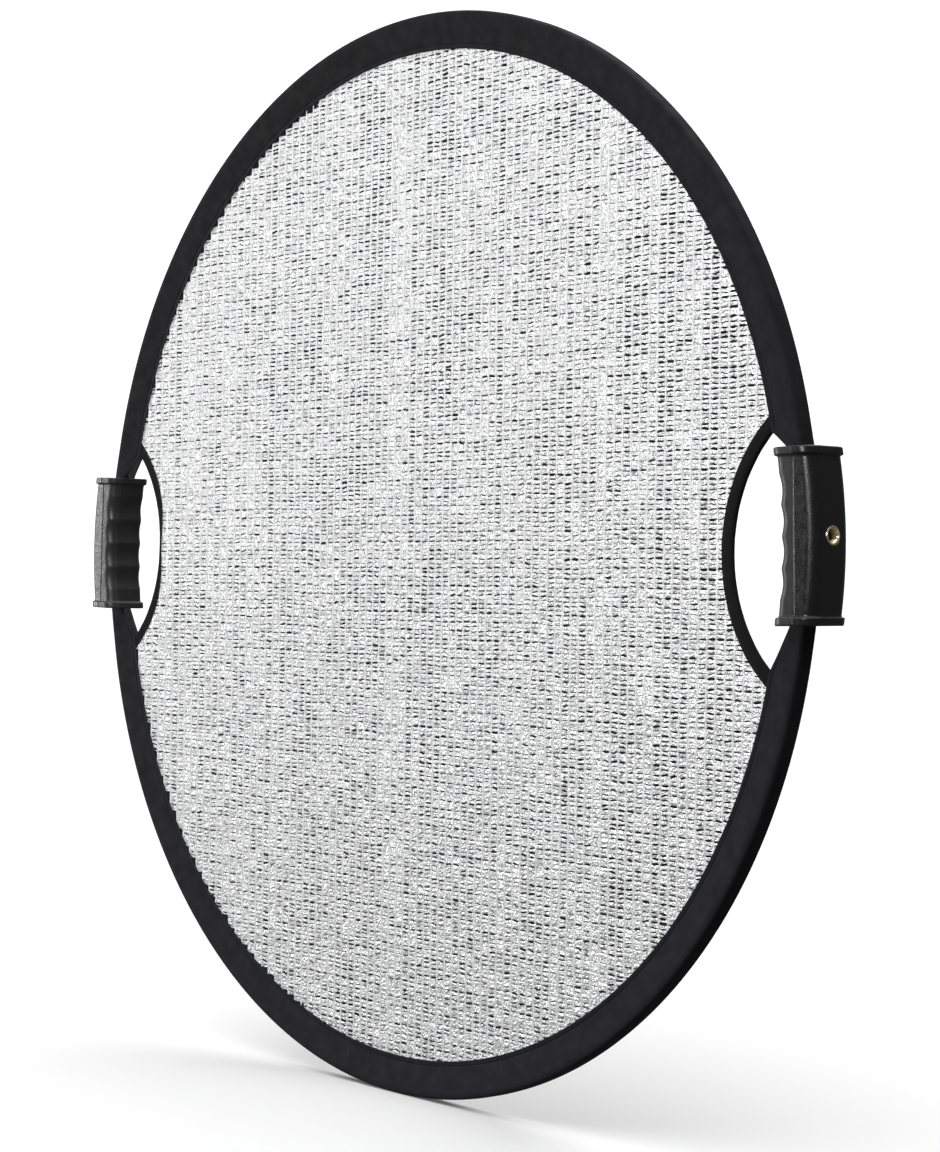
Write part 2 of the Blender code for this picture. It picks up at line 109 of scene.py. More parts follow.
def repeated(faces, count, step):
    """The same faces for each of many equal grids of points, step points apart."""
    return (faces[None] + step * np.arange(count)[:, None, None]).reshape(-1, 4)


def keep_faces(points, faces, keep):
    """The points and faces that are left when only some faces are kept."""
    used, left = np.unique(faces[keep], return_inverse=True)
    return points[used], left.reshape(-1, 4)


def new_mesh(name, points, faces, uv=None):
    """A mesh from arrays of points, four-cornered faces and one UV for each point."""
    mesh = bpy.data.meshes.new(name)
    mesh.vertices.add(len(points))
    mesh.vertices.foreach_set("co", np.asarray(points, np.float32).ravel())
    mesh.loops.add(faces.size)
    mesh.loops.foreach_set("vertex_index", faces.astype(np.int32).ravel())
    mesh.polygons.add(len(faces))
    mesh.polygons.foreach_set("loop_start", np.arange(0, faces.size, 4, dtype=np.int32))
    mesh.update(calc_edges=True)
    if uv is not None:
        layer = mesh.uv_layers.new(name="UVMap")
        layer.data.foreach_set("uv", np.asarray(uv, np.float32)[faces.ravel()].ravel())
    return mesh


def new_piece(name, mesh, material, smooth=True):
    """An object for a mesh, with its material."""
    piece = bpy.data.objects.new(name, mesh)
    bpy.context.scene.collection.objects.link(piece)
    mesh.materials.clear()
    mesh.materials.append(material)
    if smooth:
        mesh.shade_smooth()
    return piece


def face_outwards(mesh):
    """Turn a closed mesh's faces outwards."""
    build = bmesh.new()
    build.from_mesh(mesh)
    bmesh.ops.recalc_face_normals(build, faces=build.faces)
    build.to_mesh(mesh)
    build.free()


def settle(piece):
    """Apply a piece's modifiers to its mesh."""
    graph = bpy.context.evaluated_depsgraph_get()
    mesh = bpy.data.meshes.new_from_object(piece.evaluated_get(graph))
    piece.modifiers.clear()
    piece.data = mesh


def twist_with_hoop(piece):
    """Bake a piece's placement into its mesh; it rides on neither half."""
    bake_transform(piece)


def smooth_noise(x, y, seed):
    """Smooth noise from -1 to 1 at arrays of places."""
    flat = [noise.noise((a, b, seed)) for a, b in zip(np.ravel(x), np.ravel(y))]
    return np.reshape(flat, np.shape(x))


def rings_to_mesh(name, rings, uv=None):
    """A closed mesh through an array of rings (ring, point, xyz), capped at both ends."""
    count, around = rings.shape[:2]
    faces = grid_faces(count, around, close_columns=True)
    mesh = new_mesh(name, rings.reshape(-1, 3), faces, uv)
    build = bmesh.new()
    build.from_mesh(mesh)
    build.verts.ensure_lookup_table()
    build.faces.new([build.verts[i] for i in range(around)])
    build.faces.new([build.verts[i] for i in range((count - 1) * around, count * around)])
    bmesh.ops.recalc_face_normals(build, faces=build.faces)
    build.to_mesh(mesh)
    build.free()
    return mesh


def beads(name, places, directions, normals, length, radius, material):
    """Many small stitches, each a rounded six-sided bead along its direction."""
    sides, shares = 6, ((-0.5, 0.25), (-0.36, 0.85), (0.0, 1.0), (0.36, 0.85), (0.5, 0.25))
    across = np.cross(directions, normals)
    turns = 2.0 * np.pi * np.arange(sides) / sides
    rows = []
    for along, width in shares:
        for turn in turns:
            offset = radius * width * (np.cos(turn) * across + 0.8 * np.sin(turn) * normals)
            rows.append(places + along * length * directions + offset)
    points = np.stack(rows, axis=1)
    one = grid_faces(len(shares), sides, close_columns=True)
    faces = repeated(one, len(places), len(shares) * sides)
    return new_piece(name, new_mesh(name, points.reshape(-1, 3), faces), material)


# Materials

class Surface:
    """A Principled material under construction."""

    def __init__(self, name, colour, roughness, metallic=0.0, **sockets):
        self.material = bpy.data.materials.new(name)
        self.material.use_nodes = True
        self.tree = self.material.node_tree
        self.shader = self.tree.nodes["Principled BSDF"]
        self.shader.inputs["Base Color"].default_value = (*colour, 1.0)
        self.shader.inputs["Roughness"].default_value = roughness
        self.shader.inputs["Metallic"].default_value = metallic
        for socket, value in sockets.items():
            self.shader.inputs[socket.replace("_", " ")].default_value = value

    def node(self, kind, inputs=(), **settings):
        """Add a node, set its options and fill or link its inputs."""
        made = self.tree.nodes.new("ShaderNode" + kind)
        for option, value in settings.items():
            setattr(made, option, value)
        for socket, value in dict(inputs).items():
            if isinstance(value, bpy.types.NodeSocket):
                self.tree.links.new(value, made.inputs[socket])
            else:
                made.inputs[socket].default_value = value
        return made

    def place(self, kind="UV", scale=(1.0, 1.0, 1.0)):
        """Texture coordinates, scaled."""
        coordinates = self.node("TexCoord").outputs[kind]
        return self.node("Mapping", {"Vector": coordinates, "Scale": scale}).outputs[0]

    def noise(self, vector, scale, detail=2.0, roughness=0.5):
        """Noise value at a place."""
        inputs = {"Vector": vector, "Scale": scale, "Detail": detail, "Roughness": roughness}
        return self.node("TexNoise", inputs).outputs["Fac"]

    def spread(self, value, low, high, to_low, to_high):
        """Map a value from one range to another, held at its ends."""
        inputs = {"Value": value, "From Min": low, "From Max": high,
                  "To Min": to_low, "To Max": to_high}
        return self.node("MapRange", inputs).outputs[0]

    def maths(self, operation, first, second=0.5):
        """A sum on one or two values."""
        return self.node("Math", {0: first, 1: second}, operation=operation).outputs[0]

    def blend(self, factor, first, second):
        """Mix two colours."""
        mix = self.node("Mix", {"Factor": factor}, data_type="RGBA")
        for socket, value in ((mix.inputs[6], first), (mix.inputs[7], second)):
            if isinstance(value, bpy.types.NodeSocket):
                self.tree.links.new(value, socket)
            else:
                socket.default_value = (*value, 1.0)
        return mix.outputs[2]

    def use(self, socket, value):
        """Link a value to the shader."""
        self.tree.links.new(value, self.shader.inputs[socket])

    def bump(self, height, distance, strength=1.0, under=None):
        """Raise the surface by a height, on top of an earlier bump."""
        inputs = {"Height": height, "Distance": distance, "Strength": strength}
        if under is not None:
            inputs["Normal"] = under
        return self.node("Bump", inputs).outputs[0]

    def weave(self, pitch_u, pitch_v, kind="UV"):
        """Height of a plain weave with these thread pitches."""
        over = self.node("SeparateXYZ", {0: self.place(kind)})
        turn_u = self.maths("MULTIPLY", over.outputs[0], 2.0 * math.pi / pitch_u)
        turn_v = self.maths("MULTIPLY", over.outputs[1], 2.0 * math.pi / pitch_v)
        wave_u = self.maths("SINE", turn_u, 0.0)
        wave_v = self.maths("SINE", turn_v, 0.0)
        return self.maths("MULTIPLY", wave_u, wave_v)


def sleeve_cloth():
    """Tight black nylon of the rim, slightly blue, with a fine weave and lint."""
    made = Surface("sleeve_cloth", (0.009, 0.009, 0.0105), 0.7,
                   Sheen_Weight=0.02, Specular_IOR_Level=0.12)
    place = made.place()
    broad = made.noise(place, 28.0, 3.0)
    colour = made.blend(broad, (0.0065, 0.0065, 0.0078), (0.0115, 0.0115, 0.0138))
    lint = made.noise(place, 2600.0, 1.0)
    colour = made.blend(made.spread(lint, 0.68, 0.82, 0.0, 0.5), colour, (0.03, 0.03, 0.034))
    made.use("Base Color", colour)
    made.use("Roughness", made.spread(made.noise(place, 90.0), 0.3, 0.7, 0.62, 0.82))
    folds = made.bump(made.noise(place, 160.0, 3.0), 0.5 * MM, 0.5)
    made.use("Normal", made.bump(made.weave(0.8 * MM, 0.8 * MM), 0.12 * MM, 0.6, folds))
    return made.material


def backing_cloth():
    """Matt black cloth behind the net."""
    made = Surface("backing_cloth", (0.016, 0.016, 0.018), 0.9, Specular_IOR_Level=0.15)
    place = made.place()
    broad = made.noise(place, 14.0, 4.0)
    made.use("Base Color", made.blend(broad, (0.012, 0.012, 0.0135), (0.022, 0.022, 0.024)))
    folds = made.bump(made.noise(place, 60.0, 3.0), 0.8 * MM, 0.4)
    made.use("Normal", made.bump(made.weave(1.1 * MM, 1.1 * MM), 0.18 * MM, 0.7, folds))
    return made.material


def tape_cloth():
    """Black ribbed binding tape."""
    made = Surface("tape_cloth", (0.008, 0.0077, 0.008), 0.85, Specular_IOR_Level=0.12)
    place = made.place()
    made.use("Base Color", made.blend(made.noise(place, 120.0, 3.0),
                                      (0.0055, 0.0052, 0.0055), (0.011, 0.0105, 0.011)))
    over = made.node("SeparateXYZ", {0: place})
    turn = made.maths("MULTIPLY", over.outputs[0], 2.0 * math.pi / (0.9 * MM))
    ribs = made.maths("SINE", turn, 0.0)
    uneven = made.bump(made.noise(place, 300.0, 2.0), 0.3 * MM, 0.5)
    made.use("Normal", made.bump(ribs, 0.14 * MM, 0.8, uneven))
    return made.material


def thread(name, colour):
    """Twisted sewing thread."""
    made = Surface(name, colour, 0.6, Specular_IOR_Level=0.3)
    grain = made.noise(made.place("Object"), 2500.0, 1.0)
    made.use("Normal", made.bump(grain, 0.1 * MM, 0.5))
    return made.material


def silver_foil():
    """Crinkled aluminised film of the net's strips, its facets' reflections painted in its colour.
    """
    made = Surface("silver_foil", (0.86, 0.86, 0.87), 0.3, 0.55)
    place = made.place()
    # Painted reflections: each crinkle facet and patch gets a lighter or darker silver, standing in
    # for what the facets mirror.
    facets = made.node("TexVoronoi", {"Vector": place, "Scale": 900.0, "Randomness": 1.0})
    glint = made.node("SeparateColor", {0: facets.outputs["Color"]}).outputs[0]
    painted_reflections = made.maths("ADD", glint, made.spread(made.noise(place, 240.0), 0.3, 0.7, -0.2, 0.2))
    made.use("Base Color", made.blend(made.spread(painted_reflections, 0.0, 1.0, 0.0, 1.0),
                                      (0.60, 0.60, 0.61), (1.0, 1.0, 1.0)))
    crinkle = made.node("TexVoronoi", {"Vector": place, "Scale": 620.0, "Randomness": 1.0})
    made.use("Roughness", made.spread(made.noise(place, 500.0, 2.0), 0.3, 0.7, 0.2, 0.42))
    creases = made.bump(crinkle.outputs["Distance"], 0.9 * MM, 0.8)
    fine = made.noise(place, 1500.0, 2.0)
    made.use("Normal", made.bump(fine, 0.25 * MM, 0.6, creases))
    return made.material


def net_yarn():
    """White knitted yarn of the net's ribs, glinting with film."""
    made = Surface("net_yarn", (0.92, 0.92, 0.92), 0.4, 0.3)
    fine = made.noise(made.place(), 1800.0, 2.0)
    made.use("Normal", made.bump(fine, 0.3 * MM, 0.7))
    return made.material


def grip_plastic(name, colour, roughness, gloss):
    """Moulded black plastic, leather-grained where the attribute grain says so."""
    made = Surface(name, colour, roughness, Specular_IOR_Level=gloss)
    place = made.place("Object")
    grain = made.node("Attribute", attribute_name="grain").outputs["Fac"]
    wear = made.noise(place, 55.0, 4.0)
    darker = tuple(0.75 * value for value in colour)
    lighter = tuple(1.35 * value for value in colour)
    made.use("Base Color", made.blend(wear, darker, lighter))
    matt = made.spread(made.noise(place, 220.0, 3.0), 0.3, 0.7, roughness - 0.05, roughness + 0.07)
    made.use("Roughness", matt)
    fine = made.bump(made.noise(place, 1700.0, 2.0), 0.08 * MM, 0.35)
    cells = made.node("TexVoronoi", {"Vector": place, "Scale": 1500.0}, feature="F1")
    pebbles = made.maths("MULTIPLY", cells.outputs["Distance"], grain)
    made.use("Normal", made.bump(pebbles, 0.2 * MM, 0.4, fine))
    return made.material


def brass():
    """Turned brass, with fine tool marks, a little tarnish and painted shade deep in its hole."""
    made = Surface("turned_brass", (0.78, 0.62, 0.38), 0.22, 1.0)
    place = made.place("Object")
    tarnish = made.noise(place, 260.0, 4.0)
    bright = made.blend(tarnish, (0.86, 0.66, 0.38), (1.0, 0.88, 0.66))
    # Painted shade: the colour goes almost black deeper inside the threaded hole.
    depth = made.node("Attribute", attribute_name="depth").outputs["Fac"]
    made.use("Base Color", made.blend(made.spread(depth, 0.05, 0.45, 0.0, 1.0),
                                      bright, (0.035, 0.028, 0.02)))
    made.use("Roughness", made.spread(tarnish, 0.3, 0.7, 0.16, 0.34))
    made.use("Normal", made.bump(made.noise(place, 1500.0, 2.0), 0.05 * MM, 0.4))
    return made.material


def dark_steel():
    """Blackened steel of the screws."""
    made = Surface("dark_steel", (0.06, 0.06, 0.065), 0.4, 0.9)
    wear = made.noise(made.place("Object"), 900.0, 3.0)
    made.use("Base Color", made.blend(wear, (0.03, 0.03, 0.032), (0.12, 0.12, 0.125)))
    made.use("Roughness", made.spread(wear, 0.3, 0.7, 0.3, 0.55))
    return made.material


def strip_steel():
    """Rolled spring strip."""
    made = Surface("strip_steel", (0.42, 0.42, 0.44), 0.35, 1.0)
    streaks = made.noise(made.place("Object", (40.0, 900.0, 40.0)), 8.0, 3.0)
    made.use("Roughness", made.spread(streaks, 0.3, 0.7, 0.25, 0.5))
    return made.material


SLEEVE_CLOTH = sleeve_cloth()
BACKING_CLOTH = backing_cloth()
TAPE_CLOTH = tape_cloth()
BLACK_THREAD = thread("black_thread", (0.014, 0.014, 0.0165))
SILVER_FOIL = silver_foil()
NET_YARN = net_yarn()
FINGER_PLASTIC = grip_plastic("finger_plastic", (0.020, 0.020, 0.0205), 0.40, 0.45)
OUTER_PLASTIC = grip_plastic("outer_plastic", (0.0045, 0.0045, 0.0047), 0.30, 0.5)
BRASS = brass()
DARK_STEEL = dark_steel()
STRIP_STEEL = strip_steel()


# Rim: sleeve, its seam and the spring band

SLEEVE_SHARES = (0.0, 0.035, 0.15, 0.42, 0.70, 0.87, 1.0)
SLEEVE_WIDE = (4.6, 5.8, 6.0, 4.5, 2.7, 1.75, 1.75)
SLEEVE_NARROW = (4.6, 5.8, 6.0, 6.0, 5.9, 5.5, 4.4)
SEAM_SHARE = 0.86
CLOTH_THICKNESS = 0.45 * MM


def crescent_corner(radius, disc_radius):
    """Angle from a crescent's middle to where its circle meets a hoop circle."""
    cosine = (disc_radius**2 + CRESCENT_CENTRE**2 - radius**2) / (
        2.0 * disc_radius * CRESCENT_CENTRE)
    return math.acos(cosine)


def sleeve_wideness(angle):
    """1 where the sleeve has its full width and 0 inside a grip, at a polar angle."""
    up = np.arctan2(np.sin(angle), np.abs(np.cos(angle)))
    end = GRIP_HALF_LENGTH / HOOP_RADIUS + math.radians(0.25)
    corner = crescent_corner(CRESCENT_RADIUS, LIP_RADIUS)
    middle = np.where(np.cos(angle) > 0.0, RIGHT_CRESCENT_TILT, LEFT_CRESCENT_TILT)
    above = (up - GRIP_TILT - end) / (middle + corner - GRIP_TILT - end)
    below = (GRIP_TILT - end - up) / (GRIP_TILT - end - middle + corner)
    return np.clip(np.maximum(above, below), 0.0, 1.0)


def sleeve_half_thickness(share, wide):
    """Half thickness of the sleeve at a share of its depth."""
    thick = np.interp(share, SLEEVE_SHARES, SLEEVE_WIDE)
    slim = np.interp(share, SLEEVE_SHARES, SLEEVE_NARROW)
    return (slim + wide * (thick - slim)) * MM


def sleeve_sections(angles):
    """Points (angle, point, radius and y) from the front lip round the outer edge to the back."""
    side = [0.05, 0.08, 0.12, 0.16, 0.22, 0.28, 0.34, 0.40, 0.46, 0.52, 0.58, 0.64, 0.70,
            0.75, 0.79, 0.82, 0.845, SEAM_SHARE, 0.875, 0.90, 0.94, 0.975, 1.0]
    shares = np.array([0.0, 0.0, 0.004, 0.02, *side])
    rise = np.array([0.0, 0.45, 0.85, 0.98] + [1.0] * len(side))
    wide = sleeve_wideness(angles)[:, None]
    depth = SLEEVE_DEPTH_AT_GRIP + wide * (SLEEVE_DEPTH - SLEEVE_DEPTH_AT_GRIP)
    half = sleeve_half_thickness(shares[None], wide) * rise[None]

    along = angles[:, None] * HOOP_RADIUS
    across = shares[None] + np.zeros_like(along)
    near_seam = np.exp(-(((across - SEAM_SHARE) / 0.07) ** 2))
    middle = np.sin(np.pi * np.clip((across - 0.12) / 0.7, 0.0, 1.0))
    taper = np.exp(-(((wide - 0.45) / 0.4) ** 2)) * (wide < 0.999)
    sections = []
    for sign, seed in ((-1.0, 3.0), (1.0, 9.0)):
        pucker = smooth_noise(along / (4.6 * MM), across * 2.0, seed) * near_seam * 0.32
        ripple = smooth_noise(along / (17.0 * MM), across * 1.6, seed + 1.0) * middle * 0.42
        wave = smooth_noise(along / (60.0 * MM), across, seed + 2.0) * middle * 0.35
        gather = smooth_noise(along / (9.0 * MM), across * 5.0, seed + 3.0) * taper * middle
        groove = -0.42 * np.exp(-(((across - SEAM_SHARE) / 0.012) ** 2))
        swell = (pucker + ripple + wave + groove) * wide + 0.9 * gather
        lip = 0.18 * smooth_noise(along / (11.0 * MM), across * 0.0, seed + 5.0)
        radius = HOOP_RADIUS - shares[None] * (depth + lip * MM * (shares[None] > 0.9))
        sections.append(np.stack([radius, sign * (half + swell * MM)], axis=2))
    front, back = sections
    return np.concatenate([front[:, ::-1], back[:, 1:]], axis=1)


def build_sleeve():
    """The whole sleeve round the hoop, one folded layer of cloth."""
    steps = 1440
    angles = np.linspace(-math.pi, math.pi, steps, endpoint=False)
    sections = sleeve_sections(angles)
    radius, y = sections[..., 0], sections[..., 1]
    points = np.stack(
        [radius * np.cos(angles)[:, None], y, radius * np.sin(angles)[:, None]], axis=2)
    gone = np.hypot(np.diff(radius, axis=1), np.diff(y, axis=1)).cumsum(axis=1)
    across = np.hstack([np.zeros((steps, 1)), gone])
    along = np.repeat(angles[:, None] * HOOP_RADIUS, across.shape[1], axis=1)
    uv = np.stack([along, across], axis=2).reshape(-1, 2)
    faces = grid_faces(steps, sections.shape[1], close_rows=True)
    mesh = new_mesh("rim_sleeve", points.reshape(-1, 3), faces, uv)
    sleeve = new_piece("rim_sleeve", mesh, SLEEVE_CLOTH)
    solid = sleeve.modifiers.new("thickness", "SOLIDIFY")
    solid.thickness = CLOTH_THICKNESS
    solid.offset = -1.0
    settle(sleeve)
    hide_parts("right_rim_sleeve", "left_rim_sleeve")
    twist_with_hoop(sleeve)


def build_sleeve_stitching():
    """The row of stitches that closes the sleeve, front and back."""
    pitch = 3.3 * MM
    radius = HOOP_RADIUS - SEAM_SHARE * SLEEVE_DEPTH
    count = int(2.0 * math.pi * radius / pitch)
    angles = 2.0 * math.pi * np.arange(count) / count - math.pi
    angles = angles[sleeve_wideness(angles) > 0.999]
    half = sleeve_half_thickness(SEAM_SHARE, 1.0) - 0.22 * MM
    rows = {"places": [], "directions": [], "normals": []}
    for sign in (-1.0, 1.0):
        lean = 0.08 * random.standard_normal(len(angles))
        ring = np.stack([np.cos(angles), 0.0 * angles, np.sin(angles)], axis=1)
        ahead = np.stack([-np.sin(angles), 0.0 * angles, np.cos(angles)], axis=1)
        heading = ahead * np.cos(lean)[:, None] + ring * np.sin(lean)[:, None]
        rows["places"].append(radius * ring + np.array([0.0, sign * half, 0.0]))
        rows["directions"].append(heading)
        rows["normals"].append(np.tile([0.0, sign, 0.0], (len(angles), 1)))
    joined = {key: np.concatenate(value) for key, value in rows.items()}
    stitches = beads("rim_stitching", length=2.5 * MM, radius=0.24 * MM,
                     material=BLACK_THREAD, **joined)
    twist_with_hoop(stitches)


def build_band():
    """The flat spring hoop inside the sleeve, in place of its three CAD stretches."""
    steps = 360
    angles = np.linspace(0.0, 2.0 * math.pi, steps, endpoint=False)
    thick, wide = BAND_HALF_THICKNESS, BAND_HALF_WIDTH
    corner = [(-thick, -wide + BAND_EDGE), (-thick + BAND_EDGE, -wide)]
    foot = corner + [(-x, y) for x, y in reversed(corner)]
    section = np.array(foot + [(x, -y) for x, y in reversed(foot)])
    radius = BAND_RADIUS + section[None, :, 0]
    turn = angles[:, None]
    points = np.stack([radius * np.cos(turn), section[None, :, 1] + 0.0 * turn,
                       radius * np.sin(turn)], axis=2)
    faces = grid_faces(steps, len(section), close_rows=True, close_columns=True)
    mesh = new_mesh("spring_band", points.reshape(-1, 3), faces)
    face_outwards(mesh)
    band = new_piece("spring_band", mesh, STRIP_STEEL, smooth=False)
    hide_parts("right_spring_band_long", "right_spring_band_short", "left_spring_band")
    twist_with_hoop(band)


# Net and backing cloth

NET_RADIUS = LIP_RADIUS + 1.6 * MM
CLOTH_CRESCENT_RADIUS = CRESCENT_RADIUS + 2.0 * MM
ROW_PITCH = 3.27 * MM
RIB_PITCH = 8.15 * MM
NET_Y = -1.15 * MM
NET_FRONT_Y, NET_BACK_Y = -2.3 * MM, -0.35 * MM


def crescent_places():
    """The two circles' centres (x, z) that the crescents are cut about."""
    return [
        CRESCENT_CENTRE * np.array([side * math.cos(tilt), math.sin(tilt)])
        for side, tilt in ((1.0, RIGHT_CRESCENT_TILT), (-1.0, LEFT_CRESCENT_TILT))]


def inside_cloth(x, z, margin=0.0):
    """True where a point lies on the cloth, or within a margin of it."""
    inside = np.hypot(x, z) < NET_RADIUS + margin
    for centre in crescent_places():
        inside &= np.hypot(x - centre[0], z - centre[1]) > CLOTH_CRESCENT_RADIUS - margin
    return inside


def pull_inside(x, z):
    """Move points that lie off the cloth to its nearest edge."""
    for centre in crescent_places():
        away = np.hypot(x - centre[0], z - centre[1])
        push = np.maximum(1.0, CLOTH_CRESCENT_RADIUS / np.maximum(away, 1e-9))
        x, z = centre[0] + (x - centre[0]) * push, centre[1] + (z - centre[1]) * push
    out = np.hypot(x, z)
    pull = np.minimum(1.0, NET_RADIUS / np.maximum(out, 1e-9))
    return x * pull, z * pull


def ease(value):
    """Held from 0 to 1, with soft ends."""
    held = np.clip(value, 0.0, 1.0)
    return held * held * (3.0 - 2.0 * held)


def near_edge(x, z):
    """1 under the sleeve's lip and under the tape, falling to 0 a little way past them."""
    rim = ease((9.0 * MM - (NET_RADIUS - np.hypot(x, z))) / (7.0 * MM))
    for centre in crescent_places():
        gap = np.hypot(x - centre[0], z - centre[1]) - CLOTH_CRESCENT_RADIUS
        rim = np.maximum(rim, ease((TAPE_WIDTH + 8.0 * MM - gap) / (7.0 * MM)))
    return rim


def net_drift(x, z):
    """How far the knit wanders from its regular grid, along x and z, and rises along y."""
    side = 0.45 * MM * smooth_noise(x / 0.09, z / 0.05, 21.0)
    lift = 1.1 * MM * smooth_noise(x / 0.07, z / 0.11, 22.0)
    lift = lift + 0.5 * MM * smooth_noise(x / 0.02, z / 0.03, 23.0)
    swell = 0.34 * MM * smooth_noise(x / 0.05, z / 0.07, 24.0)
    return side, lift, swell


def rib_places():
    """Places of the ribs along x, even but for the knit being drawn wider towards the left."""
    count = int(NET_RADIUS / RIB_PITCH + 1)
    even = np.arange(-count, count + 1) * RIB_PITCH
    return even - 0.5 * np.maximum(0.0, -even - 60.0 * MM) ** 2


def net_openness(rib_x, gap_z):
    """Height of the slot in each cell: by patches, by columns, by alternate rows and by chance."""
    x, z = np.meshgrid((rib_x[:-1] + rib_x[1:]) / 2.0, gap_z, indexing="ij")
    patch = smooth_noise(x / 0.030, z / 0.10, 31.0)
    streak = random.normal(0.0, 0.18, (len(x), 1))
    chance = random.normal(0.0, 0.42, x.shape)
    every_other = 0.26 * (-1.0) ** np.arange(len(gap_z))
    to_the_right = 0.15 * np.clip(x / 0.37, -0.5, 1.0)
    height = 0.66 + 0.38 * patch + streak + chance + every_other + to_the_right
    return np.clip(height, 0.0, 1.9) * MM


def strip_lines(rib_x, gap_z, slot, shares, slants):
    """Lower edge, middle and upper edge of each strip, as x and z by (row, place, line)."""
    columns, rows = slot.shape[0], slot.shape[1] - 1
    cell = np.diff(rib_x)[:, None]
    x = np.zeros((rows, 3 * columns + 1, 3))
    z = np.zeros_like(x)
    x[:, ::3] = rib_x[None, :, None]
    for line, first in ((0, 0), (1, 0), (2, 1)):
        gaps = slice(first, first + rows)
        level = (gap_z[:rows] + line * ROW_PITCH / 2.0)[:, None]
        z[:, ::3, line] = level
        for place in (0, 1):
            at = slice(place + 1, 3 * columns, 3)
            x[:, at, line] = (rib_x[:columns, None] + shares[place][:, gaps] * cell).T
            opened = (1 - line) * slot[:, gaps].T / 2.0
            slanted = abs(1 - line) * slants[place][:, gaps].T
            z[:, at, line] = level + opened + slanted
    return x, z


def build_net():
    """Flat strips of film, one a row, that part between the ribs and leave dark slots."""
    rib_x = rib_places()
    rows = 2 * int(NET_RADIUS / ROW_PITCH + 1)
    gap_z = (np.arange(rows + 1) - rows / 2.0) * ROW_PITCH
    slot = net_openness(rib_x, gap_z)
    shares = (random.uniform(0.14, 0.46, slot.shape), random.uniform(0.52, 0.84, slot.shape))
    slants = random.normal(0.0, 0.34 * MM, (2, *slot.shape))
    flat_x, flat_z = strip_lines(rib_x, gap_z, slot, shares, slants)

    crumple = random.normal(0.0, 0.24, flat_x.shape)
    crumple[:, :, 1] = random.normal(0.34, 0.26, flat_x.shape[:2])
    crumple[:, ::3] *= 0.35
    side, lift, swell = net_drift(flat_x, flat_z)
    x, z = pull_inside(flat_x + side, flat_z + lift)
    edge = near_edge(x, z)
    y = NET_Y - (crumple * MM + swell) * (1.0 - 0.8 * edge)
    y = np.clip(y + 0.2 * MM * edge, NET_FRONT_Y, NET_BACK_Y)

    places = flat_x.shape[1]
    faces = repeated(grid_faces(places, 3), rows, places * 3)
    middle_x = flat_x.reshape(-1)[faces].mean(axis=1)
    middle_z = flat_z.reshape(-1)[faces].mean(axis=1)
    keep = inside_cloth(middle_x, middle_z, 0.6 * MM) & ~torn_off(middle_x, middle_z, rib_x)
    points = np.stack([x, y, z, flat_x, flat_z], axis=3).reshape(-1, 5)
    points, faces = keep_faces(points, faces, keep)
    mesh = new_mesh("silver_net", points[:, :3], faces, points[:, 3:])
    net = new_piece("silver_net", mesh, SILVER_FOIL, smooth=False)
    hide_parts("right_silver_net", "left_silver_net")
    ribs = build_net_ribs(rib_x, gap_z)
    twist_with_hoop(net)
    twist_with_hoop(ribs)


def torn_off(x, z, rib_x):
    """True for the ends of strips past the last rib at the rim, where the film has come away."""
    column = np.clip(np.searchsorted(rib_x, x), 1, len(rib_x) - 1)
    chance = smooth_noise(column * 3.7, z / (4.0 * MM), 41.0)
    shown = LIP_RADIUS - np.hypot(rib_x[column], z)
    return (shown < (3.2 + 3.4 * chance) * MM) & (x < -0.12)


def build_net_ribs(rib_x, gap_z):
    """Knitted chains that hold the strips together, one a rib."""
    step = ROW_PITCH / 2.0
    lengths = np.arange(gap_z[0], gap_z[-1], step)
    count = len(lengths)
    x = np.repeat(rib_x[:, None], count, axis=1)
    z = np.repeat(lengths[None], len(rib_x), axis=0)
    loop = (np.arange(count) % 2)[None] * np.ones_like(x)
    side, lift, swell = net_drift(x, z)
    wobble = random.normal(0.0, 0.10, x.shape) * MM
    half = (0.36 + 0.26 * loop + random.normal(0.0, 0.10, x.shape)) * MM
    crest = (0.70 + 0.32 * loop + random.normal(0.0, 0.14, x.shape)) * MM
    raised = 1.0 - 0.95 * near_edge(x, z)
    rows = []
    for sign, rise in ((-1.0, 0.0), (0.0, 1.0), (1.0, 0.0)):
        rows.append(np.stack([
            x + side + wobble + sign * half,
            NET_Y - (swell + rise * crest) * raised,
            z + lift], axis=2))
    points = np.stack(rows, axis=2)
    faces = repeated(grid_faces(count, 3), len(rib_x), count * 3)
    points = points.reshape(-1, 3)
    keep = inside_cloth(points[faces, 0].mean(axis=1), points[faces, 2].mean(axis=1))
    points, faces = keep_faces(points, faces, keep)
    mesh = new_mesh("net_ribs", points, faces, points[:, ::2])
    ribs = new_piece("net_ribs", mesh, NET_YARN)
    return ribs


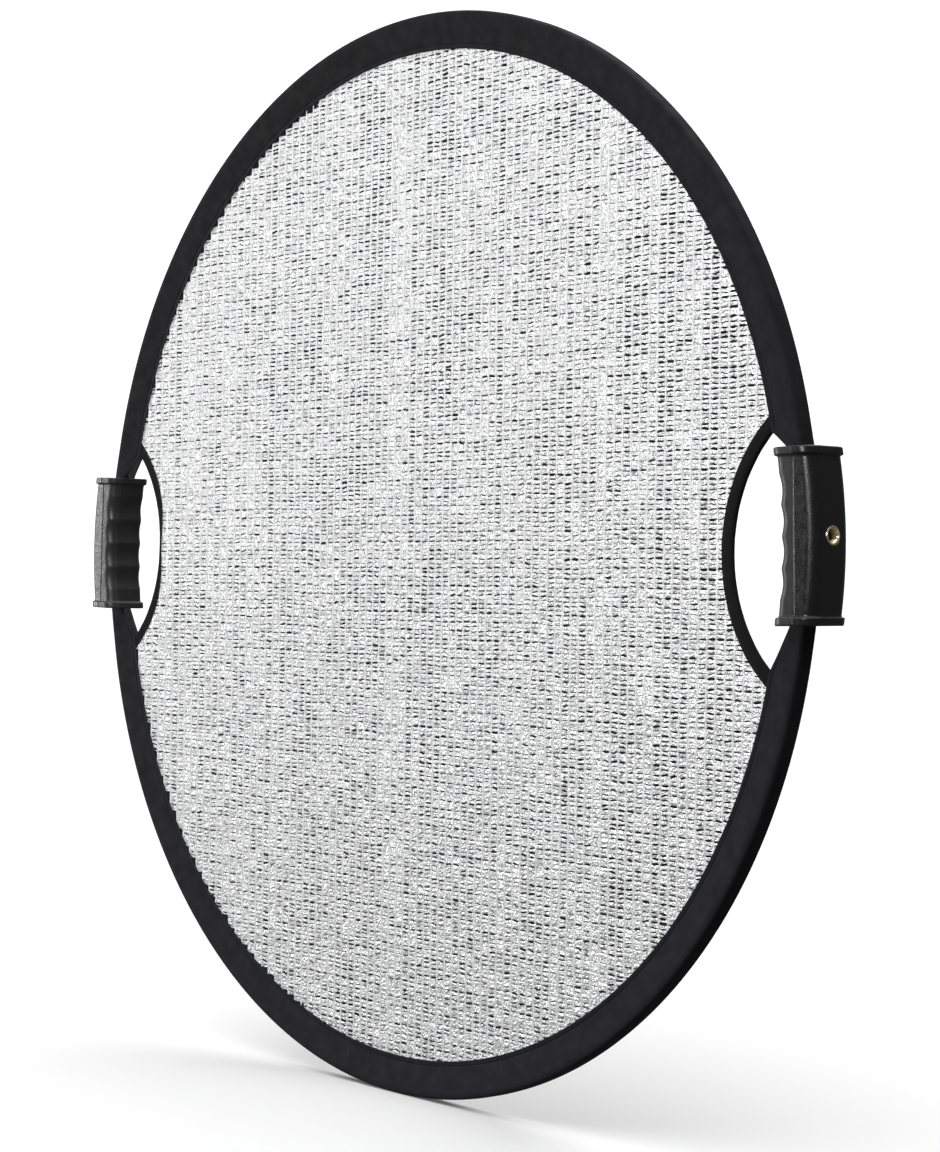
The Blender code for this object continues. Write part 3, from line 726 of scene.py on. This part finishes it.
def build_backing():
    """The black cloth behind the net, drawn tight, with faint wrinkles from the seam."""
    pitch = 3.4 * MM
    count = 2 * int(NET_RADIUS / pitch + 1) + 1
    line = (np.arange(count) - count // 2) * pitch
    x, z = np.meshgrid(line, line)
    faces = grid_faces(count, count)
    keep = inside_cloth(x.ravel()[faces].mean(axis=1), z.ravel()[faces].mean(axis=1), 0.5 * pitch)
    x, z = pull_inside(x, z)
    around = np.arctan2(z, x) * HOOP_RADIUS
    edge = near_edge(x, z)
    wrinkle = smooth_noise(around / (12.0 * MM), np.hypot(x, z) / 0.08, 51.0)
    near_rim = np.clip((np.hypot(x, z) - 0.22) / 0.15, 0.0, 1.0) * (1.0 - edge)
    broad = smooth_noise(x / 0.12, z / 0.12, 52.0) * (1.0 - edge)
    y = 0.95 * MM + 0.55 * MM * wrinkle * near_rim + 0.5 * MM * broad
    points, faces = keep_faces(np.stack([x, y, z], axis=2).reshape(-1, 3), faces, keep)
    mesh = new_mesh("backing_cloth", points, faces, points[:, ::2])
    backing = new_piece("backing_cloth", mesh, BACKING_CLOTH)
    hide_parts("right_backing_cloth", "left_backing_cloth")
    twist_with_hoop(backing)


# Tape on the crescent edges

def side_frame(side, angle, radius):
    """World matrix at a side of the disc: u out from its centre, v across it, w along the hoop."""
    tilt = Matrix.Rotation(-angle, 4, "Y")
    facing = Matrix.Identity(4) if side > 0 else Matrix.Rotation(math.pi, 4, "Z")
    return facing @ tilt @ Matrix.Translation((radius, 0.0, 0.0))


def crescent_frame(side):
    """World matrix at the middle of a crescent's circle."""
    tilt = RIGHT_CRESCENT_TILT if side > 0 else LEFT_CRESCENT_TILT
    return side_frame(side, tilt, CRESCENT_CENTRE)


def tape_widths(side, angles):
    """Width of the tape along its arc. The left one rolls under at its middle."""
    rolled = 0.72 * np.exp(-(((angles - math.pi) / 0.27) ** 2)) if side < 0.0 else 0.0 * angles
    return TAPE_WIDTH * (1.0 - rolled)


def build_tape(name, side):
    """Folded tape over both cloths' cut edge, tucked under the sleeve at its ends."""
    tuck = LIP_RADIUS + 4.0 * MM
    reach = math.acos((CRESCENT_CENTRE**2 + (CRESCENT_RADIUS + TAPE_WIDTH) ** 2 - tuck**2)
                      / (2.0 * CRESCENT_CENTRE * (CRESCENT_RADIUS + TAPE_WIDTH)))
    steps = 200
    angles = np.linspace(math.pi - reach, math.pi + reach, steps)
    shares = np.array([1.0, 0.93, 0.84, 0.72, 0.55, 0.38, 0.22, 0.09, 0.02, 0.0])
    height = np.array([1.62, 1.72, 1.62, 1.82, 1.94, 1.96, 1.9, 1.62, 1.0, 0.0]) * MM
    share = np.concatenate([shares, shares[-2::-1]])[None]
    thickness = np.concatenate([-height, height[-2::-1]])
    along = angles[:, None] * CRESCENT_RADIUS + 0.0 * share
    gone = np.cumsum(np.hypot(TAPE_WIDTH * np.diff(share[0], prepend=1.0),
                              np.diff(thickness, prepend=thickness[0])))
    across = gone[None] + 0.0 * along
    ruffle = smooth_noise(along / (6.0 * MM), across / (4.0 * MM), 61.0 + side)
    edge_wave = smooth_noise(along / (16.0 * MM), 0.0 * along, 63.0 + side)
    ends = np.clip((reach - np.abs(angles - math.pi)) / math.radians(6.0), 0.0, 1.0)[:, None]
    r = CRESCENT_RADIUS + tape_widths(side, angles)[:, None] * share + 0.25 * MM * edge_wave
    y = thickness[None] * (0.72 + 0.28 * ends) + np.sign(thickness)[None] * 0.14 * MM * ruffle
    points = np.stack([r * np.cos(angles)[:, None], y, r * np.sin(angles)[:, None]], axis=2)
    uv = np.stack([along, across], axis=2).reshape(-1, 2)
    faces = grid_faces(steps, points.shape[1])
    mesh = new_mesh(name, points.reshape(-1, 3), faces, uv)
    mesh.transform(crescent_frame(side))
    tape = new_piece(name, mesh, TAPE_CLOTH)
    solid = tape.modifiers.new("thickness", "SOLIDIFY")
    solid.thickness = 0.4 * MM
    solid.offset = -1.0
    settle(tape)
    label = "right" if side > 0 else "left"
    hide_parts(label + "_crescent_tape")
    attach(tape, label + "_half")
    build_tape_stitching(name + "_stitching", side, reach - 0.06)


def build_tape_stitching(name, side, reach):
    """A row of stitches near the tape's inner edge, front and back."""
    pitch, seam_share = 3.0 * MM, 0.84
    count = int(2.0 * reach * (CRESCENT_RADIUS + TAPE_WIDTH) / pitch)
    turns = np.linspace(math.pi - reach, math.pi + reach, count)
    radius = CRESCENT_RADIUS + seam_share * tape_widths(side, turns)
    x, z = radius * np.cos(turns), radius * np.sin(turns)
    ahead = np.stack([np.gradient(x), 0.0 * turns, np.gradient(z)], axis=1)
    ahead /= np.linalg.norm(ahead, axis=1, keepdims=True)
    depth = 1.68 * MM
    places = np.concatenate([np.stack([x, 0.0 * x + y, z], axis=1) for y in (-depth, depth)])
    normals = np.repeat([[0.0, -1.0, 0.0], [0.0, 1.0, 0.0]], count, axis=0)
    stitches = beads(name, places, np.concatenate([ahead, ahead]), normals,
                     2.2 * MM, 0.22 * MM, BLACK_THREAD)
    stitches.data.transform(crescent_frame(side))
    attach(stitches, ("right" if side > 0 else "left") + "_half")


# Grips

HALF_WIDTH, HALF_DEPTH, CROWN = 15.5 * MM, 16.8 * MM, 1.2 * MM
OUTER_CORNER, FINGER_CORNER = 7.8 * MM, 8.5 * MM
FLANGE_HEIGHT, FLANGE_GROWTH, FLANGE_ROUND = 5.5 * MM, 2.2 * MM, 1.1 * MM
GROOVE_PITCH, GROOVE_COUNT, GROOVE_DEPTH = 20.0 * MM, 4, 1.7 * MM
PARTING_U, PARTING_GAP = -1.6 * MM, 0.22 * MM
CHANNEL_INNER_U, CHANNEL_OUTER_U, CHANNEL_HALF_V = -11.9 * MM, 1.4 * MM, 6.4 * MM
SMOOTH_PANEL_V = 9.0 * MM
SCREW_U, SCREW_PLACES = 2.2 * MM, (40.0 * MM, 0.0, -40.0 * MM)
SCREW_SEAT_V, SCREW_TIP_V = 14.4 * MM, 8.2 * MM
SCREW_RADIUS, SCREW_HEAD_RADIUS, SCREW_HEAD_HEIGHT = 1.2 * MM, 2.2 * MM, 1.8 * MM
SCREW_HOLE_RADIUS = 1.5 * MM
INSERT_RADIUS, INSERT_HOLE_RADIUS = 6.25 * MM, 4.7 * MM
INSERT_INNER_U = 3.0 * MM
INSERT_FACE_U = HALF_WIDTH + CROWN + 0.2 * MM
THREAD_PITCH = 25.4 / 16.0 * MM


def flange_growth(w):
    """How far the outline stands out at w, for the two rounded flanges."""
    from_end = GRIP_HALF_LENGTH - np.abs(w)
    outer = np.clip(from_end / FLANGE_ROUND, 0.0, 1.0)
    inner = np.clip((FLANGE_HEIGHT - from_end) / FLANGE_ROUND, 0.0, 1.0)
    rounded = np.minimum(np.sqrt(1.0 - (1.0 - outer) ** 2), np.sqrt(1.0 - (1.0 - inner) ** 2))
    fillet = 0.5 * MM * np.clip(1.0 - (from_end - FLANGE_HEIGHT) / (1.4 * MM), 0.0, 1.0) ** 2
    on_flange = from_end <= FLANGE_HEIGHT
    base = np.where(from_end < FLANGE_HEIGHT / 2.0, FLANGE_GROWTH - FLANGE_ROUND, 0.5 * MM)
    return np.where(on_flange, base + (FLANGE_GROWTH - base) * rounded, fillet)


def groove_depth(w):
    """Depth of the four finger grooves at w."""
    reach = GROOVE_COUNT * GROOVE_PITCH / 2.0
    soft = 0.16
    wave = np.hypot(np.sin(math.pi * (w + reach) / GROOVE_PITCH), soft) - soft
    return np.where(np.abs(w) < reach, GROOVE_DEPTH * wave / (math.hypot(1.0, soft) - soft), 0.0)


def grip_outline(w, spacing=0.5 * MM):
    """Outline (u, v) at each w, evenly spaced points from the parting plane round the outside.

    Returns the finger side's points and the outer side's, each as (w, point, uv).
    """
    sag = GRIP_RADIUS - np.sqrt(GRIP_RADIUS**2 - w**2)
    growth = flange_growth(w)
    outer = HALF_WIDTH - sag + CROWN * (1.0 - (w / GRIP_HALF_LENGTH) ** 2) + growth
    inner = -HALF_WIDTH - sag + groove_depth(w) - growth
    side = HALF_DEPTH + growth
    finger = rounded_end(PARTING_U - PARTING_GAP / 2.0, inner, side, FINGER_CORNER + growth, spacing)
    cover = rounded_end(PARTING_U + PARTING_GAP / 2.0, outer, side, OUTER_CORNER + growth, spacing)
    return finger, cover


def rounded_end(start, end, side, corner, spacing):
    """Points from (start, -side) round the end at u = end to (start, side)."""
    way = np.sign(end[0] - start)
    flat = np.abs(end - start) - corner
    counts = (
        int(np.mean(flat) / spacing), int(np.mean(corner) * math.pi / 2.0 / spacing),
        int(np.mean(side - corner) / spacing))
    columns = []
    for share in np.arange(counts[0]) / counts[0]:
        columns.append((start + way * flat * share, -side))
    for turn in np.arange(counts[1]) / counts[1] * math.pi / 2.0:
        columns.append((end - way * corner * (1.0 - math.sin(turn)),
                        -side + corner * (1.0 - math.cos(turn))))
    for share in np.arange(counts[2]) / counts[2]:
        columns.append((end, (-side + corner) * (1.0 - share)))
    columns.append((end, 0.0 * side))
    half = np.stack([np.stack([u + 0.0 * end, v + 0.0 * end], axis=1) for u, v in columns], axis=1)
    mirror = half[:, -2::-1] * np.array([1.0, -1.0])
    return np.concatenate([half, mirror], axis=1)


def leather(points):
    """Height of a leather grain at places: rounded pebbles with creases between them."""
    heights = []
    for u, v, w in points:
        near = noise.voronoi(Vector((u, v, w)) / (1.2 * MM))[0]
        heights.append(min(1.0, (near[1] - near[0]) * 2.2))
    return np.array(heights)


def grip_stations():
    """Places along the grip, close together at the flanges' rounded edges."""
    flange = np.concatenate([
        np.array([0.0, 0.08, 0.2, 0.4, 0.7, 1.1, 1.8, 2.75, 3.7, 4.4, 4.8, 5.1, 5.3, 5.42, 5.5]),
        np.array([5.52, 5.8, 6.2, 6.7])]) * MM
    ends = GRIP_HALF_LENGTH - flange
    inner = ends[-1]
    count = int(2.0 * inner / (0.55 * MM))
    body = np.linspace(-inner, inner, count + 1)[1:-1]
    return np.concatenate([-ends, body, ends[::-1]])


def shell_rings(outline, w, wall_u, wall_half):
    """Close an outline across the parting plane and round the hoop's channel."""
    sag = GRIP_RADIUS - np.sqrt(GRIP_RADIUS**2 - w**2)
    start = outline[:, 0, 0]
    side = outline[:, -1, 1]
    wall = wall_u - sag
    inside = [
        (start, wall_half + (side - wall_half) * 0.5),
        (start, wall_half + 0.0 * side),
        (start + (wall - start) * 0.5, wall_half + 0.0 * side),
        (wall, wall_half * 0.8 + 0.0 * side),
        (wall, 0.0 * side),
        (wall, -wall_half * 0.8 + 0.0 * side),
        (start + (wall - start) * 0.5, -wall_half + 0.0 * side),
        (start, -wall_half + 0.0 * side),
        (start, -wall_half - (side - wall_half) * 0.5),
    ]
    extra = np.stack([np.stack(pair, axis=1) for pair in inside], axis=1)
    ring = np.concatenate([outline, extra], axis=1)
    along = np.repeat(w[:, None, None], ring.shape[1], axis=1)
    return np.concatenate([ring, along], axis=2)


def grained(rings, skin_count, wanted):
    """Raise the leather grain on the skin points where it is wanted; returns its weight."""
    skin = rings[:, :skin_count]
    before = np.roll(skin, 1, axis=1)
    after = np.roll(skin, -1, axis=1)
    tangent = after - before
    tangent[:, 0] = skin[:, 1] - skin[:, 0]
    tangent[:, -1] = skin[:, -1] - skin[:, -2]
    normal = np.stack([tangent[..., 1], -tangent[..., 0]], axis=2)
    normal /= np.maximum(np.linalg.norm(normal, axis=2, keepdims=True), 1e-9)
    weight = wanted(skin)
    height = np.zeros(skin.shape[:2])
    chosen = weight > 0.01
    height[chosen] = leather(skin[chosen])
    lift = (height - 0.6) * weight * 0.06 * MM
    skin[..., :2] += normal * lift[..., None]
    full = np.zeros(rings.shape[:2])
    full[:, :skin_count] = weight
    return full


def between_flanges(w):
    """1 along the grip's body, 0 on its flanges."""
    end = GRIP_HALF_LENGTH - FLANGE_HEIGHT - 1.5 * MM
    return np.clip((end - np.abs(w)) / (1.0 * MM), 0.0, 1.0)


def cover_grain(skin):
    """The outer shell is grained on its front, back and corners, smooth on its panel and flanges."""
    panel = np.clip((np.abs(skin[..., 1]) - SMOOTH_PANEL_V) / (1.2 * MM), 0.0, 1.0)
    return panel * between_flanges(skin[..., 2])


def finger_grain(skin):
    """The finger shell is grained faintly on its front and back, smooth in its grooves."""
    flat = np.clip((skin[..., 0] + 9.5 * MM) / (1.5 * MM), 0.0, 1.0)
    return 0.25 * flat * between_flanges(skin[..., 2])


def round_parting(rings, skin_count):
    """Draw the skin in slightly at the parting plane, so that the joint shows as a line."""
    for place, depth in ((0, 0.22), (1, 0.06)):
        rings[:, place, 1] += depth * MM
        rings[:, skin_count - 1 - place, 1] -= depth * MM


def add_values(mesh, name, values):
    """Give each point of a mesh a value that its material reads."""
    attribute = mesh.attributes.new(name, "FLOAT", "POINT")
    attribute.data.foreach_set("value", values.astype(np.float32).ravel())


def cut_out(piece, cutters, sharp_degrees):
    """A piece's mesh with some objects cut out of it; the piece and the objects are removed."""
    for other in cutters:
        boolean = piece.modifiers.new("cut", "BOOLEAN")
        boolean.operation = "DIFFERENCE"
        boolean.object = other
    settle(piece)
    mesh = piece.data
    mesh.set_sharp_from_angle(angle=math.radians(sharp_degrees))
    for other in (piece, *cutters):
        bpy.data.objects.remove(other, do_unlink=True)
    return mesh


def build_shell(name, rings, grain, material, cutters):
    """A grip shell's mesh in the grip's frame, with its holes cut."""
    mesh = rings_to_mesh(name, rings)
    add_values(mesh, "grain", grain)
    return cut_out(new_piece(name, mesh, material), cutters, 38.0)


def turned_rings(profile, sides):
    """Rings about the first axis at each (place, radius); a radius may differ round its ring."""
    turns = 2.0 * math.pi * np.arange(sides) / sides
    return np.array([
        np.stack([place + 0.0 * turns, radius * np.cos(turns), radius * np.sin(turns)], axis=1)
        for place, radius in profile])


def turned(name, profile, sides):
    """A closed turned mesh about the first axis: profile is (place, radius) from end to end."""
    return rings_to_mesh(name, turned_rings(profile, sides))


def screw_place(w):
    """From a mesh turned about u to the axis of the screw at w, which runs along v."""
    return Matrix.Translation((SCREW_U, 0.0, w)) @ Matrix.Rotation(math.pi / 2.0, 4, "Z")


def cutter(mesh):
    """An object to cut with."""
    made = bpy.data.objects.new("cutter", mesh)
    bpy.context.scene.collection.objects.link(made)
    return made


def well_cutter(w):
    """Stepped hole for one screw, from the rear face, with a broken edge."""
    head = SCREW_HEAD_RADIUS + 0.35 * MM
    mesh = turned("well", (
        (SCREW_TIP_V - 0.3 * MM, SCREW_HOLE_RADIUS), (SCREW_SEAT_V, SCREW_HOLE_RADIUS),
        (SCREW_SEAT_V, head),
        (HALF_DEPTH - 0.35 * MM, head), (HALF_DEPTH + 0.05 * MM, head + 0.4 * MM),
        (40.0 * MM, head + 0.4 * MM)), 32)
    mesh.transform(screw_place(w))
    return cutter(mesh)


def bore_cutter():
    """Hole for the brass bush in the outer face, with a small countersink."""
    radius = INSERT_RADIUS + 0.12 * MM
    return cutter(turned("bore", (
        (2.7 * MM, radius), (INSERT_FACE_U - 0.75 * MM, radius),
        (INSERT_FACE_U + 0.1 * MM, radius + 0.75 * MM), (40.0 * MM, radius + 0.75 * MM)), 64))


def grip_shells():
    """Meshes of the finger shell and the outer shell, in the right grip's frame."""
    w = grip_stations()
    finger, cover = grip_outline(w)
    finger_rings = shell_rings(finger, w, CHANNEL_INNER_U, CHANNEL_HALF_V)
    cover_rings = shell_rings(cover, w, CHANNEL_OUTER_U, CHANNEL_HALF_V)
    finger_weight = grained(finger_rings, finger.shape[1], finger_grain)
    cover_weight = grained(cover_rings, cover.shape[1], cover_grain)
    round_parting(finger_rings, finger.shape[1])
    round_parting(cover_rings, cover.shape[1])
    wells = [well_cutter(place) for place in SCREW_PLACES]
    finger_mesh = build_shell("finger_shell", finger_rings, finger_weight, FINGER_PLASTIC, [])
    cover_mesh = build_shell(
        "outer_shell", cover_rings, cover_weight, OUTER_PLASTIC, [bore_cutter(), *wells])
    return finger_mesh, cover_mesh


def insert_mesh():
    """The brass bush: a turned ring with a real screw thread in its hole."""
    sides, per_turn = 64, 10
    turns = 2.0 * math.pi * np.arange(sides) / sides
    crest, root = INSERT_HOLE_RADIUS - 0.42 * MM, INSERT_HOLE_RADIUS + 0.25 * MM
    profile = [
        (INSERT_INNER_U, INSERT_RADIUS),
        (INSERT_FACE_U - 0.25 * MM, INSERT_RADIUS),
        (INSERT_FACE_U - 0.05 * MM, INSERT_RADIUS - 0.12 * MM),
        (INSERT_FACE_U, INSERT_RADIUS - 0.3 * MM),
        (INSERT_FACE_U, INSERT_HOLE_RADIUS + 0.35 * MM)]
    top = INSERT_FACE_U - 0.45 * MM
    steps = int((top - INSERT_INNER_U) / THREAD_PITCH * per_turn)
    for step in range(steps + 1):
        u = top - (top - INSERT_INNER_U) * step / steps
        phase = u / THREAD_PITCH - turns / (2.0 * math.pi)
        wave = np.clip(1.35 * np.abs(2.0 * (phase % 1.0) - 1.0) - 0.12, 0.0, 1.0)
        fade = min(1.0, (top - u) / (0.9 * MM))
        profile.append((u, root + (crest - root) * wave * fade))
    rings = turned_rings(profile, sides)
    faces = grid_faces(len(rings), sides, close_rows=True, close_columns=True)
    mesh = new_mesh("thread_insert", rings.reshape(-1, 3), faces)
    face_outwards(mesh)
    # How deep each point lies in the hole, which sets the painted shade in the brass colour.
    in_hole = np.hypot(rings[..., 1], rings[..., 2]) < INSERT_HOLE_RADIUS + 0.4 * MM
    depth = in_hole * (INSERT_FACE_U - rings[..., 0]) / (INSERT_FACE_U - INSERT_INNER_U)
    add_values(mesh, "depth", depth)
    return mesh


def screw_mesh():
    """A pan-head screw with a cross recess, turned about the first axis."""
    seat = SCREW_SEAT_V + 0.3 * MM
    head = SCREW_HEAD_HEIGHT
    profile = [(SCREW_TIP_V, 0.3 * SCREW_RADIUS), (SCREW_TIP_V + 1.8 * MM, SCREW_RADIUS),
               (seat, SCREW_RADIUS), (seat, SCREW_HEAD_RADIUS - 0.1 * MM),
               (seat + 0.1 * MM, SCREW_HEAD_RADIUS)]
    for share in np.linspace(0.0, 1.0, 7):
        turn = share * math.pi / 2.0
        profile.append((seat + 0.7 * MM + (head - 0.7 * MM) * math.sin(turn),
                        SCREW_HEAD_RADIUS * (0.35 + 0.65 * math.cos(turn))))
    screw = new_piece("screw", turned("screw", profile, 32), DARK_STEEL)
    arms = []
    for size in ((1.3 * MM, 0.28 * MM), (0.28 * MM, 1.3 * MM)):
        build = bmesh.new()
        place = Matrix.Translation((seat + head, 0.0, 0.0))
        scale = Matrix.Diagonal((1.8 * MM, 2.0 * size[0], 2.0 * size[1], 1.0))
        bmesh.ops.create_cube(build, size=1.0, matrix=place @ scale)
        mesh = bpy.data.meshes.new("arm")
        build.to_mesh(mesh)
        build.free()
        arms.append(cutter(mesh))
    return cut_out(screw, arms, 40.0)


def mirrored(mesh):
    """A copy of a mesh, mirrored in the plane x = 0."""
    copy = mesh.copy()
    copy.transform(Matrix.Scale(-1.0, 4, (1.0, 0.0, 0.0)))
    copy.flip_normals()
    return copy


def place_grip_piece(label, name, mesh, material, node):
    """Put a finished mesh on its half, in place of its CAD node."""
    mesh.materials.clear()
    mesh.materials.append(material)
    piece = bpy.data.objects.new(label + "_" + name, mesh)
    bpy.context.scene.collection.objects.link(piece)
    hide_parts(node)
    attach(piece, label + "_half")


def build_grips():
    """Both grips: the left one's shells and screws mirror the right one's."""
    finger, cover = grip_shells()
    screw = screw_mesh()
    screws = [screw.copy() for _ in SCREW_PLACES]
    for mesh, w in zip(screws, SCREW_PLACES):
        mesh.transform(screw_place(w))
    for mesh in (finger, cover, *screws):
        mesh.transform(side_frame(1.0, GRIP_TILT, GRIP_RADIUS))
    for label, side in (("right", 1.0), ("left", -1.0)):
        if side < 0.0:
            finger, cover, *screws = (mirrored(mesh) for mesh in (finger, cover, *screws))
        node = label + "_grip_"
        place_grip_piece(label, "finger_grip", finger, FINGER_PLASTIC,
                         node + "finger_shell")
        place_grip_piece(label, "outer_grip", cover, OUTER_PLASTIC,
                         node + "outer_shell")
        for number, mesh in enumerate(screws, start=1):
            place_grip_piece(label, f"cross_screw_{number}", mesh, DARK_STEEL,
                             node + f"screw_{number}")
        bush = insert_mesh()
        bush.shade_smooth()
        bush.set_sharp_from_angle(angle=math.radians(35.0))
        bush.transform(side_frame(side, GRIP_TILT, GRIP_RADIUS))
        place_grip_piece(label, "threaded_bush", bush, BRASS, node + "thread_insert")


# Stage, light and camera

CAMERA_AZIMUTH, CAMERA_HEIGHT, CAMERA_DISTANCE = 50.78, -24.5 * MM, 1.859
AIM_AZIMUTH, AIM_ELEVATION, CAMERA_ROLL = 49.362, 0.284, 0.768
CAMERA_LENS = 77.89

# The floor is lit by the sun and the surrounding only, so that its shadow shows
UNLIT_BY_LAMPS = bpy.data.collections.new("unlit_by_lamps")


def floor_paint():
    """Matt white, with a little light of its own so that it meets the white background."""
    made = Surface("floor", (0.88, 0.88, 0.88), 0.9, Specular_IOR_Level=0.0)
    made.shader.inputs["Emission Color"].default_value = (1.0, 1.0, 1.0, 1.0)
    made.shader.inputs["Emission Strength"].default_value = 0.08
    return made.material


def build_stage():
    """A pale floor under the rim, with a white surrounding."""
    mesh = bpy.data.meshes.new("floor")
    reach, level = 30.0, cad_low.z - 0.2 * MM
    corners = [(-reach, -reach, level), (reach, -reach, level), (reach, reach, level),
               (-reach, reach, level)]
    mesh.from_pydata(corners, [], [(0, 1, 2, 3)])
    floor = new_piece("floor", mesh, floor_paint())
    floor.visible_glossy = False
    floor.visible_diffuse = False
    UNLIT_BY_LAMPS.objects.link(floor)
    UNLIT_BY_LAMPS.collection_objects[0].light_linking.link_state = "EXCLUDE"

    world = bpy.data.worlds.new("studio")
    bpy.context.scene.world = world
    world.use_nodes = True
    tree = world.node_tree
    background = tree.nodes["Background"]
    background.inputs["Color"].default_value = (1.0, 1.0, 1.0, 1.0)
    path = tree.nodes.new("ShaderNodeLightPath")
    strength = tree.nodes.new("ShaderNodeMapRange")
    strength.inputs["To Min"].default_value = 0.14
    strength.inputs["To Max"].default_value = 1.25
    tree.links.new(path.outputs["Is Camera Ray"], strength.inputs["Value"])
    tree.links.new(strength.outputs[0], background.inputs["Strength"])


def add_lamp(name, place, size, power, shadow=True):
    """A soft rectangular lamp that faces the disc's middle."""
    light = bpy.data.lights.new(name, "AREA")
    light.shape = "RECTANGLE"
    light.size, light.size_y = size
    light.energy = power
    light.use_shadow = shadow
    lamp = bpy.data.objects.new(name, light)
    bpy.context.scene.collection.objects.link(lamp)
    lamp.location = place
    lamp.rotation_euler = (-Vector(place)).to_track_quat("-Z", "Y").to_euler()
    lamp.light_linking.receiver_collection = UNLIT_BY_LAMPS


def build_lights():
    """A key in front, a tall lamp on the left, one behind on the left, and a sun overhead."""
    add_lamp("key", (0.35, -2.7, 0.9), (0.5, 0.5), 38.0, shadow=False)
    add_lamp("left", (-2.9, -1.3, 0.3), (0.5, 2.2), 40.0, shadow=False)
    add_lamp("behind", (-1.6, 2.5, 1.5), (1.5, 1.5), 12.0, shadow=False)
    light = bpy.data.lights.new("sun", "SUN")
    light.energy = 3.4
    light.angle = math.radians(95.0)
    sun = bpy.data.objects.new("sun", light)
    bpy.context.scene.collection.objects.link(sun)


def build_camera():
    """The camera at the view that the object is known from."""
    around = math.radians(CAMERA_AZIMUTH)
    aim, tilt, roll = (math.radians(a) for a in (AIM_AZIMUTH, AIM_ELEVATION, CAMERA_ROLL))
    forward = Vector((-math.sin(aim) * math.cos(tilt), math.cos(aim) * math.cos(tilt),
                      math.sin(tilt)))
    data = bpy.data.cameras.new("camera")
    data.lens = CAMERA_LENS
    data.sensor_width = 36.0
    camera = bpy.data.objects.new("camera", data)
    camera.location = (CAMERA_DISTANCE * math.sin(around), -CAMERA_DISTANCE * math.cos(around),
                       CAMERA_HEIGHT)
    level = forward.to_track_quat("-Z", "Y")
    camera.rotation_mode = "QUATERNION"
    camera.rotation_quaternion = Matrix.Rotation(-roll, 3, forward).to_quaternion() @ level
    bpy.context.scene.collection.objects.link(camera)
    bpy.context.scene.camera = camera


build_camera()
build_stage()
build_lights()
bpy.context.scene.view_settings.view_transform = "Standard"

build_sleeve()
build_sleeve_stitching()
build_band()
build_net()
build_backing()
build_tape("right_tape", 1.0)
build_tape("left_tape", -1.0)
build_grips()

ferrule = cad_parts["band_ferrule"]
ferrule.data.materials.clear()
ferrule.data.materials.append(STRIP_STEEL)
